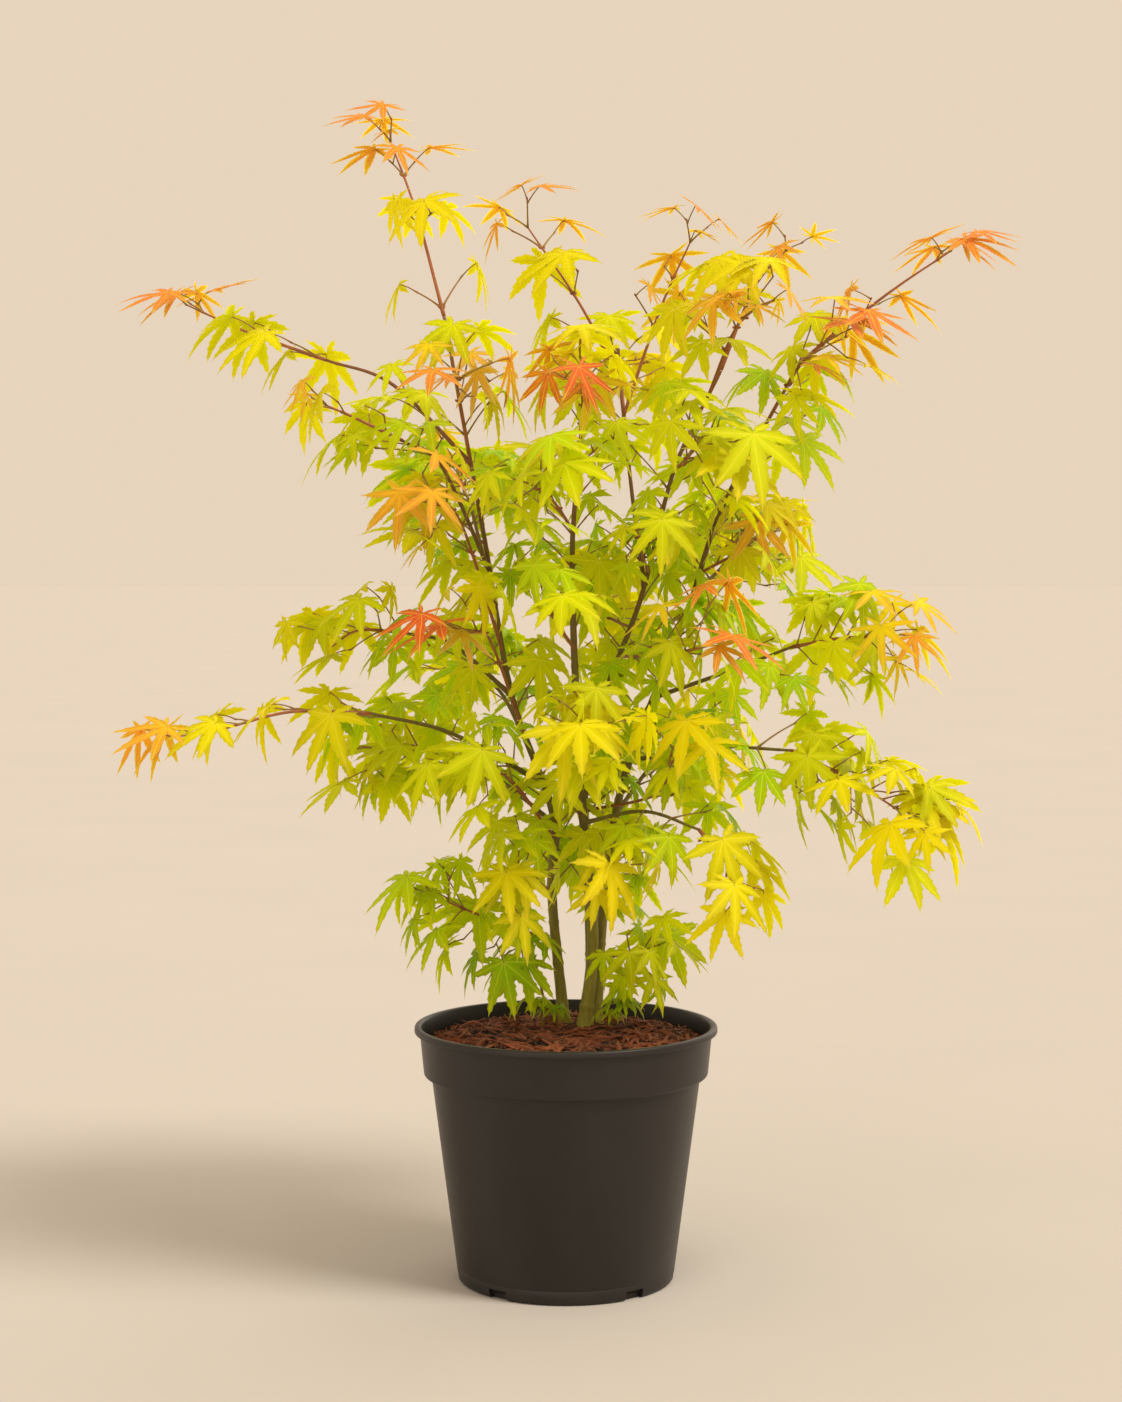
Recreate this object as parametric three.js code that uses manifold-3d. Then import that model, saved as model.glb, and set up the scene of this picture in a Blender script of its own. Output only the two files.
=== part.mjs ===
// A young Japanese maple with several stems, growing in a round plastic nursery pot.
// Millimetres, +Z up, X to the right and Y to the back. The origin is the middle of the pot's flat underside.
// The plant is a set of tapering limbs, and masses of foliage that grow on from them by one seeded rule.

import * as THREE from "three";
import { mergeVertices } from "three/addons/utils/BufferGeometryUtils.js";
import Module from "manifold-3d";

const wasm = await Module();
wasm.setup();

// Driving dimensions of the pot
const POT_HEIGHT = 160;
const RIM_RADIUS = 95;
const LIP_HEIGHT = 4.5;
const LIP_INNER_RADIUS = 90.4;
const COLLAR_HEIGHT = 31.5;
const COLLAR_TOP_RADIUS = 91.5;
const COLLAR_FOOT_RADIUS = 89;
const BODY_TOP_RADIUS = 84.3;
const BASE_RADIUS = 68;
const BASE_ROUNDING = 3;
const WALL = 2;
const FLOOR = 3;
const POT_SIDES = 32;

// Drainage notches, cut up into the bottom edge of the pot
const NOTCH_WIDTH = 13;
const NOTCH_HEIGHT = 6;
const NOTCH_DEPTH = 4;
const NOTCH_ANGLES = [-38, 38, -85, 85, -142, 142];

// Bark mulch that fills the pot
const SOIL_CENTRE_HEIGHT = 155;
const SOIL_EDGE_HEIGHT = 150.5;
const SOIL_LEVEL_RADIUS = 40;
const SOIL_ROUGHNESS = 1.3;
const SOIL_RINGS = 2;
const SOIL_GAP = 0.4;

// Room between two solids that touch on the real plant
const GAP = 0.3;

// Limbs: how many sides and stations a tube has, and how the foot of a stem flares
const STEM_SIDES = 8;
const STEM_STATIONS = 13;
const BOUGH_SIDES = 6;
const BOUGH_STATIONS = 4;
const FLARE = 0.45;
const FLARE_HEIGHT = 9;
const FOOT_CROWDING = 1.6;

// Twigs, leaf stalks and leaves
const TWIG_SIDES = 3;
const LEADER_RADIUS = 1.5;
const LEADER_TIP_RADIUS = 1;
const SHOOT_RADIUS = 0.45;
const SHOOT_TIP_RADIUS = 0.75;
const STALK_RADIUS = 0.55;
const STALK_ROOT_RADIUS = 0.3;
const STALK_SHARE = 0.42;
const STALK_SEAT = 0.86;
const STALK_END = 0.04;
const LEAF_THICKNESS = 0.035;
const LEAF_FALL = 0.24;

// The lobes of a leaf from one side to the other: angle from the middle lobe in degrees, and length as
// a share of the middle lobe's. The two small lobes beside the stalk are left out of the solid leaf.
const LOBES = [
  [-88, 0.66],
  [-41, 0.92],
  [0, 1],
  [41, 0.92],
  [88, 0.66],
];

// The notches between them, the same way round
const NOTCHES = [
  [-62, 0.32],
  [-20, 0.4],
  [20, 0.4],
  [62, 0.32],
];

// The growth rule. Each pair is the least value and the range that one draw from 0 to 1 adds to it.
const SHOOT_REACH = [0.65, 0.7];
const SHOOT_SHORTENING = 0.35;
const SHOOT_LIFT = [-0.15, 0.55];
const SHOOT_FORWARD = [0.45, 0.4];
const LAST_SHOOT_FORWARD = 0.5;
const SHOOT_ROOM = 1.5;
const LEAF_FORK = [0.55, 0.5];
const LEAF_LIFT = [0, 0.25];
const LEAF_SIZE = [0.82, 0.3];
const LEAF_DROOP = [18, 50];
const LEAF_ROLL = [-28, 56];
const LAST_LEAF = 0.87;
const RISING_SHARE = 0.7;
const BUD_SIZE = [0.53, 0.19];
const BUD_DROOP = [10, 30];
const BUD_ROLL = [-20, 40];
const BUD_RISE = 1.5;
const BUD_SEAT = 0.93;
const UPRIGHT = 0.75;
const NODE_TURN = 90;
const FIRST_NODE_TURN = 35;

// How a leaf is tried until it fits: turn in degrees, share of its length, and added droop in degrees
const TRIES = [
  [0, 1, 0],
  [28, 0.95, 12],
  [-28, 0.95, -8],
  [55, 0.86, 22],
  [-55, 0.86, 22],
  [15, 0.75, 35],
];

// Room that a leaf keeps to a limb, to the space of another mass and to other leaves of its own
const LIMB_ROOM = 6;
const SPACE_ROOM = 1.5;
const LEAF_ROOM = 5.5;
const TWIG_ROOM = 3.5;
const LOWEST_LEAF = POT_HEIGHT + 4;
const BEAD_STEP = 8;
const SEED = 4127;
const SEED_STEP = 7919;

// A tube that starts steeper than this is turned by the X axis in place of the upright
const STEEP = 0.7;

const UP = new THREE.Vector3(0, 0, 1);
const GROUND = SOIL_CENTRE_HEIGHT + GAP;

// Stems: the points each one passes, and its radius at the foot and at the tip
const STEMS = {
  stem_left: {
    through: [
      [-1, 28, GROUND],
      [-9, 23, 240],
      [-8, 17, 290],
      [-34, 10, 366],
      [-51, 0, 466],
      [-75, -8, 600],
    ],
    foot: 3.6,
    tip: 1.5,
  },
  stem_centre: {
    through: [
      [12, 19, GROUND],
      [17, 17, 214],
      [10, 3, 300],
      [5, -10, 396],
      [4, -17, 462],
      [9, -20, 528],
    ],
    foot: 4.3,
    tip: 1.5,
  },
  stem_right: {
    through: [
      [19, 28, GROUND],
      [25, 39, 235],
      [38, 44, 313],
      [76, 48, 412],
      [100, 41, 485],
      [147, 18, 575],
    ],
    foot: 3.7,
    tip: 1.5,
  },
};

// Limbs that leave another one: which, how far along it, the points passed after that, and the two radii
const BOUGHS = {
  stem_middle: {
    from: ["stem_centre", 0.1],
    through: [
      [14, 34, 250],
      [15, 33, 335],
      [47, 22, 426],
      [68, 11, 508],
      [96, 2, 568],
    ],
    foot: 3,
    tip: 1.5,
    stations: 14,
  },
  stem_upper: {
    from: ["stem_middle", 0.62],
    through: [
      [43, 34, 484],
      [34, 42, 566],
    ],
    foot: 1.9,
    tip: 1.4,
  },
  bough_upper_left: {
    from: ["stem_left", 0.87],
    through: [
      [-108, 14, 560],
      [-150, 22, 576],
    ],
    foot: 1.6,
    tip: 1.3,
  },
  bough_second_left: {
    from: ["stem_left", 0.76],
    through: [
      [-76, -32, 508],
      [-98, -52, 522],
    ],
    foot: 1.6,
    tip: 1.3,
  },
  bough_middle_left: {
    from: ["stem_left", 0.6],
    through: [
      [-70, -10, 398],
      [-98, -26, 406],
    ],
    foot: 1.8,
    tip: 1.3,
  },
  bough_low_left: {
    from: ["stem_left", 0.46],
    through: [
      [-70, -22, 344],
      [-118, -50, 358],
    ],
    foot: 2,
    tip: 1.4,
  },
  bough_low_left_rear: {
    from: ["stem_left", 0.38],
    through: [
      [-44, 34, 312],
      [-76, 46, 326],
    ],
    foot: 1.8,
    tip: 1.3,
  },
  bough_middle_right: {
    from: ["stem_right", 0.5],
    through: [
      [98, 36, 378],
      [142, 18, 396],
    ],
    foot: 1.9,
    tip: 1.3,
  },
  bough_low_right: {
    from: ["stem_right", 0.42],
    through: [
      [88, 4, 334],
      [138, -26, 334],
    ],
    foot: 1.9,
    tip: 1.3,
  },
  bough_hanging_right: {
    from: ["stem_centre", 0.37],
    through: [
      [48, -22, 296],
      [80, -52, 288],
    ],
    foot: 1.7,
    tip: 1.2,
  },
  bough_rear_low_left: {
    from: ["stem_left", 0.5],
    through: [
      [-40, 66, 362],
      [-56, 108, 374],
    ],
    foot: 1.8,
    tip: 1.3,
  },
  bough_rear_low_right: {
    from: ["stem_right", 0.34],
    through: [
      [58, 90, 318],
      [74, 126, 330],
    ],
    foot: 1.8,
    tip: 1.3,
  },
  bough_rear_high_left: {
    from: ["stem_left", 0.72],
    through: [
      [-60, 46, 482],
      [-66, 78, 496],
    ],
    foot: 1.6,
    tip: 1.2,
  },
  bough_rear_high_right: {
    from: ["stem_right", 0.64],
    through: [
      [104, 90, 448],
      [112, 122, 460],
    ],
    foot: 1.7,
    tip: 1.2,
  },
};

// The masses, each a node named foliage_ and its name here: the limb it grows on and how far along it,
// the points its leader passes, the leaf nodes as shares of the leader, the length of the shoots there,
// the length of a leaf's middle lobe, and how far in degrees the young leaves at its end rise.
const FOLIAGE = {
  tip_left: mass("stem_left", 1, [[-92, -8, 664], [-108, -3, 708]], [0.04, 0.42, 0.74], 20, 34, 30),
  upper_left: mass("bough_upper_left", 1, [[-200, 30, 594], [-240, 36, 612]], [0.06, 0.3, 0.86], 20, 42, 40),
  shoulder_left: mass("stem_left", 0.88, [[-66, -36, 556], [-62, -76, 558]], [0.35, 0.62, 0.84], 30, 46),
  second_left: mass("bough_second_left", 1, [[-128, -66, 536], [-142, -72, 542]], [0.15, 0.6], 20, 36),
  left: mass("stem_left", 0.66, [[-64, -44, 474], [-80, -80, 484]], [0.35, 0.6, 0.82], 28, 44),
  middle_left: mass("bough_middle_left", 1, [[-126, -40, 408], [-142, -48, 398]], [0.05, 0.45, 0.8], 26, 42),
  front_left: mass("stem_left", 0.54, [[-46, -44, 402], [-56, -90, 408]], [0.35, 0.6, 0.82], 28, 44),
  low_left: mass(
    "bough_low_left",
    1,
    [[-164, -66, 360], [-206, -78, 350], [-232, -84, 346]],
    [0.04, 0.26, 0.52, 0.8],
    19,
    42,
  ),
  low_left_rear: mass("bough_low_left_rear", 1, [[-104, 48, 332], [-124, 50, 330]], [0.1, 0.55], 26, 44),
  low_front_left: mass("stem_left", 0.34, [[-34, -28, 316], [-52, -72, 326]], [0.35, 0.6, 0.82], 30, 46),
  foot_left: mass("stem_left", 0.12, [[-44, -8, 226], [-82, -38, 246]], [0.4, 0.75], 20, 42),
  foot_front: mass("stem_left", 0.2, [[-22, -14, 256], [-30, -56, 262]], [0.4, 0.65, 0.85], 22, 42),
  foot_right: mass("stem_right", 0.1, [[38, 4, 204], [50, -18, 208]], [0.4, 0.75], 18, 34),
  low_centre: mass("stem_centre", 0.22, [[24, -26, 258], [30, -66, 268]], [0.4, 0.65, 0.85], 22, 44),
  middle_front: mass("stem_centre", 0.42, [[6, -50, 346], [14, -100, 352]], [0.34, 0.6, 0.82], 30, 45),
  low_right_front: mass("stem_middle", 0.3, [[56, -10, 306], [64, -62, 338]], [0.4, 0.65, 0.85], 26, 44),
  waist_front: mass("stem_centre", 0.6, [[-8, -58, 416], [-12, -106, 420]], [0.35, 0.6, 0.82], 30, 46),
  waist_right: mass("stem_middle", 0.52, [[58, -24, 392], [80, -70, 398]], [0.35, 0.6, 0.82], 30, 46),
  heart: mass("stem_middle", 0.64, [[46, -28, 456], [42, -80, 468]], [0.35, 0.6, 0.82], 28, 44),
  upper_front: mass("stem_centre", 0.82, [[-8, -64, 486], [-20, -108, 494]], [0.35, 0.6, 0.82], 30, 46),
  crown_front: mass("stem_centre", 1, [[10, -42, 544], [8, -82, 552]], [0.15, 0.5, 0.8], 31, 47),
  upper_right: mass("stem_middle", 0.8, [[72, -34, 510], [78, -84, 522]], [0.35, 0.6, 0.82], 30, 46),
  right: mass("stem_right", 0.68, [[112, 20, 458], [122, -6, 470]], [0.35, 0.7], 24, 42),
  middle_right: mass("bough_middle_right", 1, [[172, 6, 402], [204, -4, 404]], [0.05, 0.38, 0.72], 26, 44),
  low_right: mass(
    "bough_low_right",
    1,
    [[164, -44, 322], [188, -58, 308], [206, -66, 296]],
    [0.04, 0.3, 0.58, 0.82],
    22,
    44,
  ),
  hanging_right: mass("bough_hanging_right", 1, [[94, -66, 272], [104, -72, 258]], [0.1, 0.6], 16, 42),
  far_right: mass("stem_right", 1, [[200, 2, 616], [236, -10, 640]], [0.1, 0.36, 0.88], 18, 38, 25),
  shoulder_right: mass("stem_right", 0.9, [[142, -22, 568], [158, -58, 584]], [0.35, 0.6, 0.82], 28, 44),
  high_right: mass("stem_middle", 0.95, [[100, -42, 586], [108, -84, 596]], [0.35, 0.6, 0.82], 28, 44),
  tip_right: mass("stem_middle", 1, [[116, 0, 618], [136, 2, 642]], [0.3, 0.7], 18, 30, 30),
  top_right: mass("stem_upper", 0.86, [[60, 34, 610], [78, 26, 650]], [0.4, 0.7], 24, 36, 30),
  top_centre: mass("stem_upper", 1, [[8, 38, 614], [-24, 32, 660]], [0.25, 0.55, 0.86], 28, 40, 30),
  rear_low_left: mass("bough_rear_low_left", 1, [[-66, 140, 380], [-74, 164, 376]], [0.1, 0.55], 28, 46),
  rear_low_right: mass("bough_rear_low_right", 1, [[86, 152, 336], [92, 172, 334]], [0.1, 0.55], 28, 46),
  rear_high_left: mass("bough_rear_high_left", 1, [[-72, 110, 512], [-74, 134, 516]], [0.1, 0.55], 28, 46),
  rear_high_right: mass("bough_rear_high_right", 1, [[120, 146, 470], [124, 164, 472]], [0.1, 0.55], 28, 46),
  rear_middle: mass("stem_middle", 0.56, [[28, 78, 414], [22, 128, 424]], [0.42, 0.72], 28, 46),
  rear_top: mass("stem_upper", 0.7, [[36, 90, 570], [34, 124, 582]], [0.42, 0.72], 28, 46),
  rear_foot: mass("stem_right", 0.16, [[26, 82, 248], [20, 122, 258]], [0.42, 0.72], 24, 44),
};

// One line of the foliage table as named values
function mass(limb, along, through, nodes, shoot, leaf, rise = 0) {
  return { limb, along, through, nodes, shoot, leaf, rise };
}

// A steady stream of numbers between 0 and 1 for one seed
function seeded(seed) {
  let state = seed >>> 0;
  return () => {
    state = (Math.imul(state, 1664525) + 1013904223) >>> 0;
    return state / 4294967296;
  };
}

// A three.js geometry as a solid that can be joined and cut
function solidOf(geometry) {
  const bare = geometry.clone();
  bare.deleteAttribute("normal");
  bare.deleteAttribute("uv");
  const merged = mergeVertices(bare, 1e-4);
  return new wasm.Manifold(
    new wasm.Mesh({
      numProp: 3,
      vertProperties: merged.attributes.position.array,
      triVerts: new Uint32Array(merged.index.array),
    }),
  );
}

// A solid back as a three.js geometry
function geometryOf(solid) {
  const mesh = solid.getMesh();
  const geometry = new THREE.BufferGeometry();
  geometry.setAttribute("position", new THREE.BufferAttribute(mesh.vertProperties, 3));
  geometry.setIndex(new THREE.BufferAttribute(mesh.triVerts, 1));
  geometry.computeVertexNormals();
  return geometry;
}

// The largest outer body of a solid: loose scraps are dropped and sealed hollows are filled
function mainBody(solid) {
  const bodies = solid.decompose();
  return bodies.reduce((best, body) => (body.volume() > best.volume() ? body : best));
}

// The inside of the pot's wall, from the floor up to the lip, as pairs of radius and height
function innerProfile() {
  const collarFoot = POT_HEIGHT - COLLAR_HEIGHT;
  return [
    [BASE_RADIUS - WALL, FLOOR],
    [BODY_TOP_RADIUS - WALL, collarFoot + 1],
    [COLLAR_FOOT_RADIUS - WALL, collarFoot + 3],
    [LIP_INNER_RADIUS, POT_HEIGHT - 0.8],
  ];
}

// The closed profile of the pot: up the outside, over the lip and down the inside
function potProfile() {
  const collarFoot = POT_HEIGHT - COLLAR_HEIGHT;
  const lipFoot = POT_HEIGHT - LIP_HEIGHT;
  return [
    [0, 0],
    [BASE_RADIUS - BASE_ROUNDING, 0],
    [BASE_RADIUS - BASE_ROUNDING * 0.3, BASE_ROUNDING * 0.3],
    [BASE_RADIUS, BASE_ROUNDING],
    [BODY_TOP_RADIUS, collarFoot],
    [COLLAR_FOOT_RADIUS, collarFoot + 0.8],
    [COLLAR_TOP_RADIUS, lipFoot],
    [RIM_RADIUS, lipFoot + 1],
    [RIM_RADIUS - 0.3, POT_HEIGHT - 1],
    [RIM_RADIUS - 1.4, POT_HEIGHT],
    [LIP_INNER_RADIUS + 0.8, POT_HEIGHT],
    ...innerProfile().reverse(),
    [0, FLOOR],
  ];
}

function potSolid() {
  const profile = potProfile().map(([radius, height]) => new THREE.Vector2(radius, height));
  const turned = new THREE.LatheGeometry(profile, POT_SIDES).rotateX(Math.PI / 2);
  let pot = solidOf(turned);
  for (const angle of NOTCH_ANGLES) {
    const notch = new THREE.BoxGeometry(NOTCH_WIDTH, 2 * NOTCH_DEPTH, 2 * NOTCH_HEIGHT);
    notch.translate(0, -BASE_RADIUS, 0);
    notch.rotateZ((angle * Math.PI) / 180);
    pot = pot.subtract(solidOf(notch));
  }
  return pot;
}

// The mulch fills the pot a gap clear of its wall, level round the stems and uneven further out
function soilSolid() {
  const edge = SOIL_EDGE_HEIGHT;
  const wall = innerProfile().map(([radius, height]) => [radius - SOIL_GAP, height + SOIL_GAP]);
  const [collarRadius, collarHeight] = wall[2];
  const [lipRadius, lipHeight] = wall[3];
  const rise = (edge - collarHeight) / (lipHeight - collarHeight);
  const edgeRadius = collarRadius + (lipRadius - collarRadius) * rise;
  const profile = [[0, wall[0][1]], ...wall.slice(0, 3), [edgeRadius, edge]];
  for (let ring = 1; ring <= SOIL_RINGS; ring += 1) {
    const share = ring / SOIL_RINGS;
    const radius = edgeRadius + (SOIL_LEVEL_RADIUS - edgeRadius) * share;
    profile.push([radius, edge + (SOIL_CENTRE_HEIGHT - edge) * share]);
  }
  profile.push([0, SOIL_CENTRE_HEIGHT]);
  const points = profile.map(([radius, height]) => new THREE.Vector2(radius, height));
  const turned = new THREE.LatheGeometry(points, POT_SIDES).rotateX(Math.PI / 2);
  const mound = mergeVertices(bareGeometry(turned), 1e-4);
  const place = mound.attributes.position;
  const random = seeded(SEED);
  for (let i = 0; i < place.count; i += 1) {
    const radius = Math.hypot(place.getX(i), place.getY(i));
    const uneven = (random() * 2 - 1) * SOIL_ROUGHNESS;
    if (place.getZ(i) > edge - 0.01 && radius > SOIL_LEVEL_RADIUS + 1) {
      place.setZ(i, place.getZ(i) + uneven);
    }
  }
  return solidOf(mound);
}

function bareGeometry(geometry) {
  geometry.deleteAttribute("normal");
  geometry.deleteAttribute("uv");
  return geometry;
}

// A smooth curve through a few points
function curveThrough(points) {
  return new THREE.CatmullRomCurve3(points, false, "catmullrom", 0.5);
}

// Even shares of a curve's length from 0 to 1, or shares that crowd towards its start
function stationShares(stations, crowding = 1) {
  return Array.from({ length: stations + 1 }, (_, i) => Math.pow(i / stations, crowding));
}

// A closed tube with a polygon for its section, with a ring at each given share of a curve and a radius
// that changes on the way. A straight prism is extruded first, and its rings are then set on the curve.
function tube(curve, radiusAt, sides, shares, startAxis = null) {
  const corners = [];
  for (let side = 0; side < sides; side += 1) {
    const angle = (2 * Math.PI * side) / sides;
    corners.push(new THREE.Vector2(Math.cos(angle), Math.sin(angle)));
  }
  const stations = shares.length - 1;
  const prism = new THREE.ExtrudeGeometry(new THREE.Shape(corners), {
    depth: 1,
    steps: stations,
    bevelEnabled: false,
  });
  const start = curve.getTangent(0);
  const reference = Math.abs(start.z) > STEEP ? new THREE.Vector3(1, 0, 0) : UP;
  const rings = shares.map((share, i) => {
    const along = i === 0 && startAxis ? startAxis.clone() : curve.getTangent(share);
    const across = new THREE.Vector3().crossVectors(reference, along).normalize();
    const over = new THREE.Vector3().crossVectors(along, across);
    return { centre: curve.getPoint(share), across, over, radius: radiusAt(share) };
  });
  const place = prism.attributes.position;
  const corner = new THREE.Vector3();
  for (let i = 0; i < place.count; i += 1) {
    const ring = rings[Math.round(place.getZ(i) * stations)];
    corner.copy(ring.centre);
    corner.addScaledVector(ring.across, place.getX(i) * ring.radius);
    corner.addScaledVector(ring.over, place.getY(i) * ring.radius);
    place.setXYZ(i, corner.x, corner.y, corner.z);
  }
  return solidOf(prism);
}

// A stem's radius tapers from foot to tip, and flares where it meets the ground
function stemRadius(stem, curve, grow) {
  return (share) => {
    const height = curve.getPoint(share).z - GROUND;
    const flare = 1 + FLARE * Math.exp(-height / FLARE_HEIGHT);
    return (stem.foot + (stem.tip - stem.foot) * share) * flare + grow;
  };
}

function boughRadius(bough, grow) {
  return (share) => bough.foot + (bough.tip - bough.foot) * share + grow;
}

// Beads strung along a limb, to measure how far a twig or a leaf is from it
function beadsOf(curve, radiusAt) {
  const beads = [];
  const count = Math.ceil(curve.getLength() / BEAD_STEP);
  for (let i = 0; i <= count; i += 1) {
    const share = i / count;
    beads.push({ point: curve.getPoint(share), radius: radiusAt(share) });
  }
  return beads;
}

// All the limbs, each with its curve, its solid and its beads. A bough is cut clear of the limb it leaves.
function growLimbs() {
  const limbs = {};
  const stemShares = stationShares(STEM_STATIONS, FOOT_CROWDING);
  for (const [name, stem] of Object.entries(STEMS)) {
    const curve = curveThrough(stem.through.map((point) => new THREE.Vector3(...point)));
    const shape = (grow) =>
      tube(curve, stemRadius(stem, curve, grow), STEM_SIDES, stemShares, UP);
    limbs[name] = {
      curve,
      solid: shape(0),
      grown: shape(GAP),
      beads: beadsOf(curve, stemRadius(stem, curve, 0)),
    };
  }
  for (const [name, bough] of Object.entries(BOUGHS)) {
    const [parentName, along] = bough.from;
    const parent = limbs[parentName];
    const points = [parent.curve.getPoint(along)];
    points.push(...bough.through.map((point) => new THREE.Vector3(...point)));
    const curve = curveThrough(points);
    const shares = stationShares(bough.stations ?? BOUGH_STATIONS);
    const shape = (grow) => tube(curve, boughRadius(bough, grow), BOUGH_SIDES, shares);
    limbs[name] = {
      curve,
      solid: mainBody(shape(0).subtract(parent.grown)),
      grown: shape(GAP),
      beads: beadsOf(curve, boughRadius(bough, 0)),
    };
  }
  return limbs;
}

// A mass's leader starts a gap clear of its bough's tip, or on the axis of its stem, which it is cut by
function leaderCurve(limbs, { limb, along, through }) {
  const { curve } = limbs[limb];
  const start = curve.getPoint(along);
  if (along === 1) start.addScaledVector(curve.getTangent(1), GAP);
  return curveThrough([start, ...through.map((point) => new THREE.Vector3(...point))]);
}

// The points that a leaf is tested by: along each lobe, in each notch and at its foot
function leafProbes(leaf) {
  const probes = [leaf.foot];
  for (const [angle, length] of LOBES) {
    for (const share of [0.25, 0.5, 0.75, 1]) probes.push(leafPoint(leaf, angle, length * share));
  }
  for (const [angle, length] of NOTCHES) probes.push(leafPoint(leaf, angle, length));
  return probes;
}

// A point of the blade, which falls away from its foot like a cone, by its angle from the middle lobe and its share of the leaf's length
function leafPoint(leaf, angle, share) {
  const turn = (angle * Math.PI) / 180;
  const reach = share * leaf.length;
  return leaf.foot
    .clone()
    .addScaledVector(leaf.ahead, Math.cos(turn) * reach)
    .addScaledVector(leaf.aside, Math.sin(turn) * reach)
    .addScaledVector(leaf.face, -LEAF_FALL * reach);
}

function distanceTo(beads, point) {
  return beads.reduce((least, bead) => Math.min(least, bead.point.distanceTo(point)), Infinity);
}

// Grows one mass: pairs of shoots at the nodes of its leader, and a pair of leaves on each shoot
function growMass(plant, name, index) {
  const { shoot, leaf: leafLength, nodes, rise } = FOLIAGE[name];
  const leader = plant.leaders[name];
  const random = seeded(SEED + SEED_STEP * (index + 1));
  const draw = ([least, range]) => least + range * random();
  const grown = { leader, shares: [0, ...nodes, 1], sprays: [] };
  const taken = [];
  const twigs = plant.spaces[name].map((bead) => bead.point);

  const keepsClear = (points, room) =>
    points.every(
      (point) =>
        point.z > LOWEST_LEAF &&
        plant.limbBeads.every((bead) => bead.point.distanceTo(point) > bead.radius + room) &&
        plant.staysInside(name, point),
    );
  const keepsFrom = (others, points, room) =>
    points.every((point) => others.every((other) => other.distanceTo(point) > room));

  // A leaf on its stalk. A leaf that doesn't fit is tried again smaller and turned, then left out.
  const addLeaf = (spray, heading, length, droop, roll) => {
    for (const [swing, share, sag] of TRIES) {
      const way = heading.clone().applyAxisAngle(UP, (swing * Math.PI) / 180);
      const leaf = leafAt(spray.tip, way, length * share, droop + sag, roll);
      const probes = leafProbes(leaf);
      const fits =
        keepsClear([...probes, leaf.stalkMiddle], LIMB_ROOM) &&
        keepsFrom(taken, probes, LEAF_ROOM) &&
        keepsFrom(twigs, probes, TWIG_ROOM);
      if (fits) {
        taken.push(...probes);
        spray.leaves.push(leaf);
        return;
      }
    }
  };

  nodes.concat(1).forEach((share, node) => {
    const seat = leader.getPoint(share);
    const along = leader.getTangent(share);
    const upright = Math.abs(along.z) > UPRIGHT;
    const quarter = ((node * NODE_TURN + FIRST_NODE_TURN) * Math.PI) / 180;
    const level = upright
      ? new THREE.Vector3(Math.cos(quarter), Math.sin(quarter), 0)
      : new THREE.Vector3().crossVectors(along, UP).normalize();
    const last = share === 1;
    for (const hand of [1, -1]) {
      const reach = shoot * draw(SHOOT_REACH) * (1 - SHOOT_SHORTENING * share);
      const lift = draw(SHOOT_LIFT);
      const forward = draw(SHOOT_FORWARD) + (last ? LAST_SHOOT_FORWARD : 0);
      const way = level.clone().multiplyScalar(hand);
      way.addScaledVector(along, forward).addScaledVector(UP, lift).normalize();
      const spray = { root: seat, tip: seat.clone().addScaledVector(way, reach), leaves: [] };
      const middle = seat.clone().lerp(spray.tip, 0.6);
      const fits = keepsClear([middle, spray.tip], SHOOT_ROOM);
      for (const side of [1, -1]) {
        const fork = new THREE.Vector3().crossVectors(way, UP).normalize();
        const heading = way.clone().addScaledVector(fork, side * draw(LEAF_FORK));
        heading.addScaledVector(UP, draw(LEAF_LIFT)).normalize();
        const length = leafLength * (last ? LAST_LEAF : 1) * draw(LEAF_SIZE);
        const droop = draw(LEAF_DROOP) - (share > RISING_SHARE ? rise : 0);
        const roll = draw(LEAF_ROLL);
        if (fits) addLeaf(spray, heading, length, droop, roll);
      }
      if (spray.leaves.length) grown.sprays.push(spray);
    }
    const budLength = leafLength * draw(BUD_SIZE);
    const budDroop = draw(BUD_DROOP) - BUD_RISE * rise;
    const budRoll = draw(BUD_ROLL);
    const inside = leader.getPoint(nodes.at(-1)).lerp(seat, BUD_SEAT);
    const bud = { root: inside, tip: seat, leaves: [] };
    if (last) addLeaf(bud, along, budLength, budDroop, budRoll);
    if (bud.leaves.length) grown.sprays.push(bud);
  });
  return grown;
}

// A leaf's frame: its stalk leaves the root along the heading, and the blade hangs from the stalk's end
function leafAt(root, heading, length, droop, roll) {
  const stalk = STALK_SHARE * length;
  const foot = root.clone().addScaledVector(heading, stalk);
  const level = new THREE.Vector3(heading.x, heading.y, 0).normalize();
  const tilt = (droop * Math.PI) / 180;
  const ahead = level.clone().multiplyScalar(Math.cos(tilt)).addScaledVector(UP, -Math.sin(tilt));
  const face = level.clone().multiplyScalar(Math.sin(tilt)).addScaledVector(UP, Math.cos(tilt));
  face.applyAxisAngle(ahead, (roll * Math.PI) / 180);
  const aside = new THREE.Vector3().crossVectors(face, ahead);
  const stalkMiddle = root.clone().lerp(foot, 0.6);
  return { root, foot, ahead, aside, face, length, stalkMiddle };
}

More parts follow.
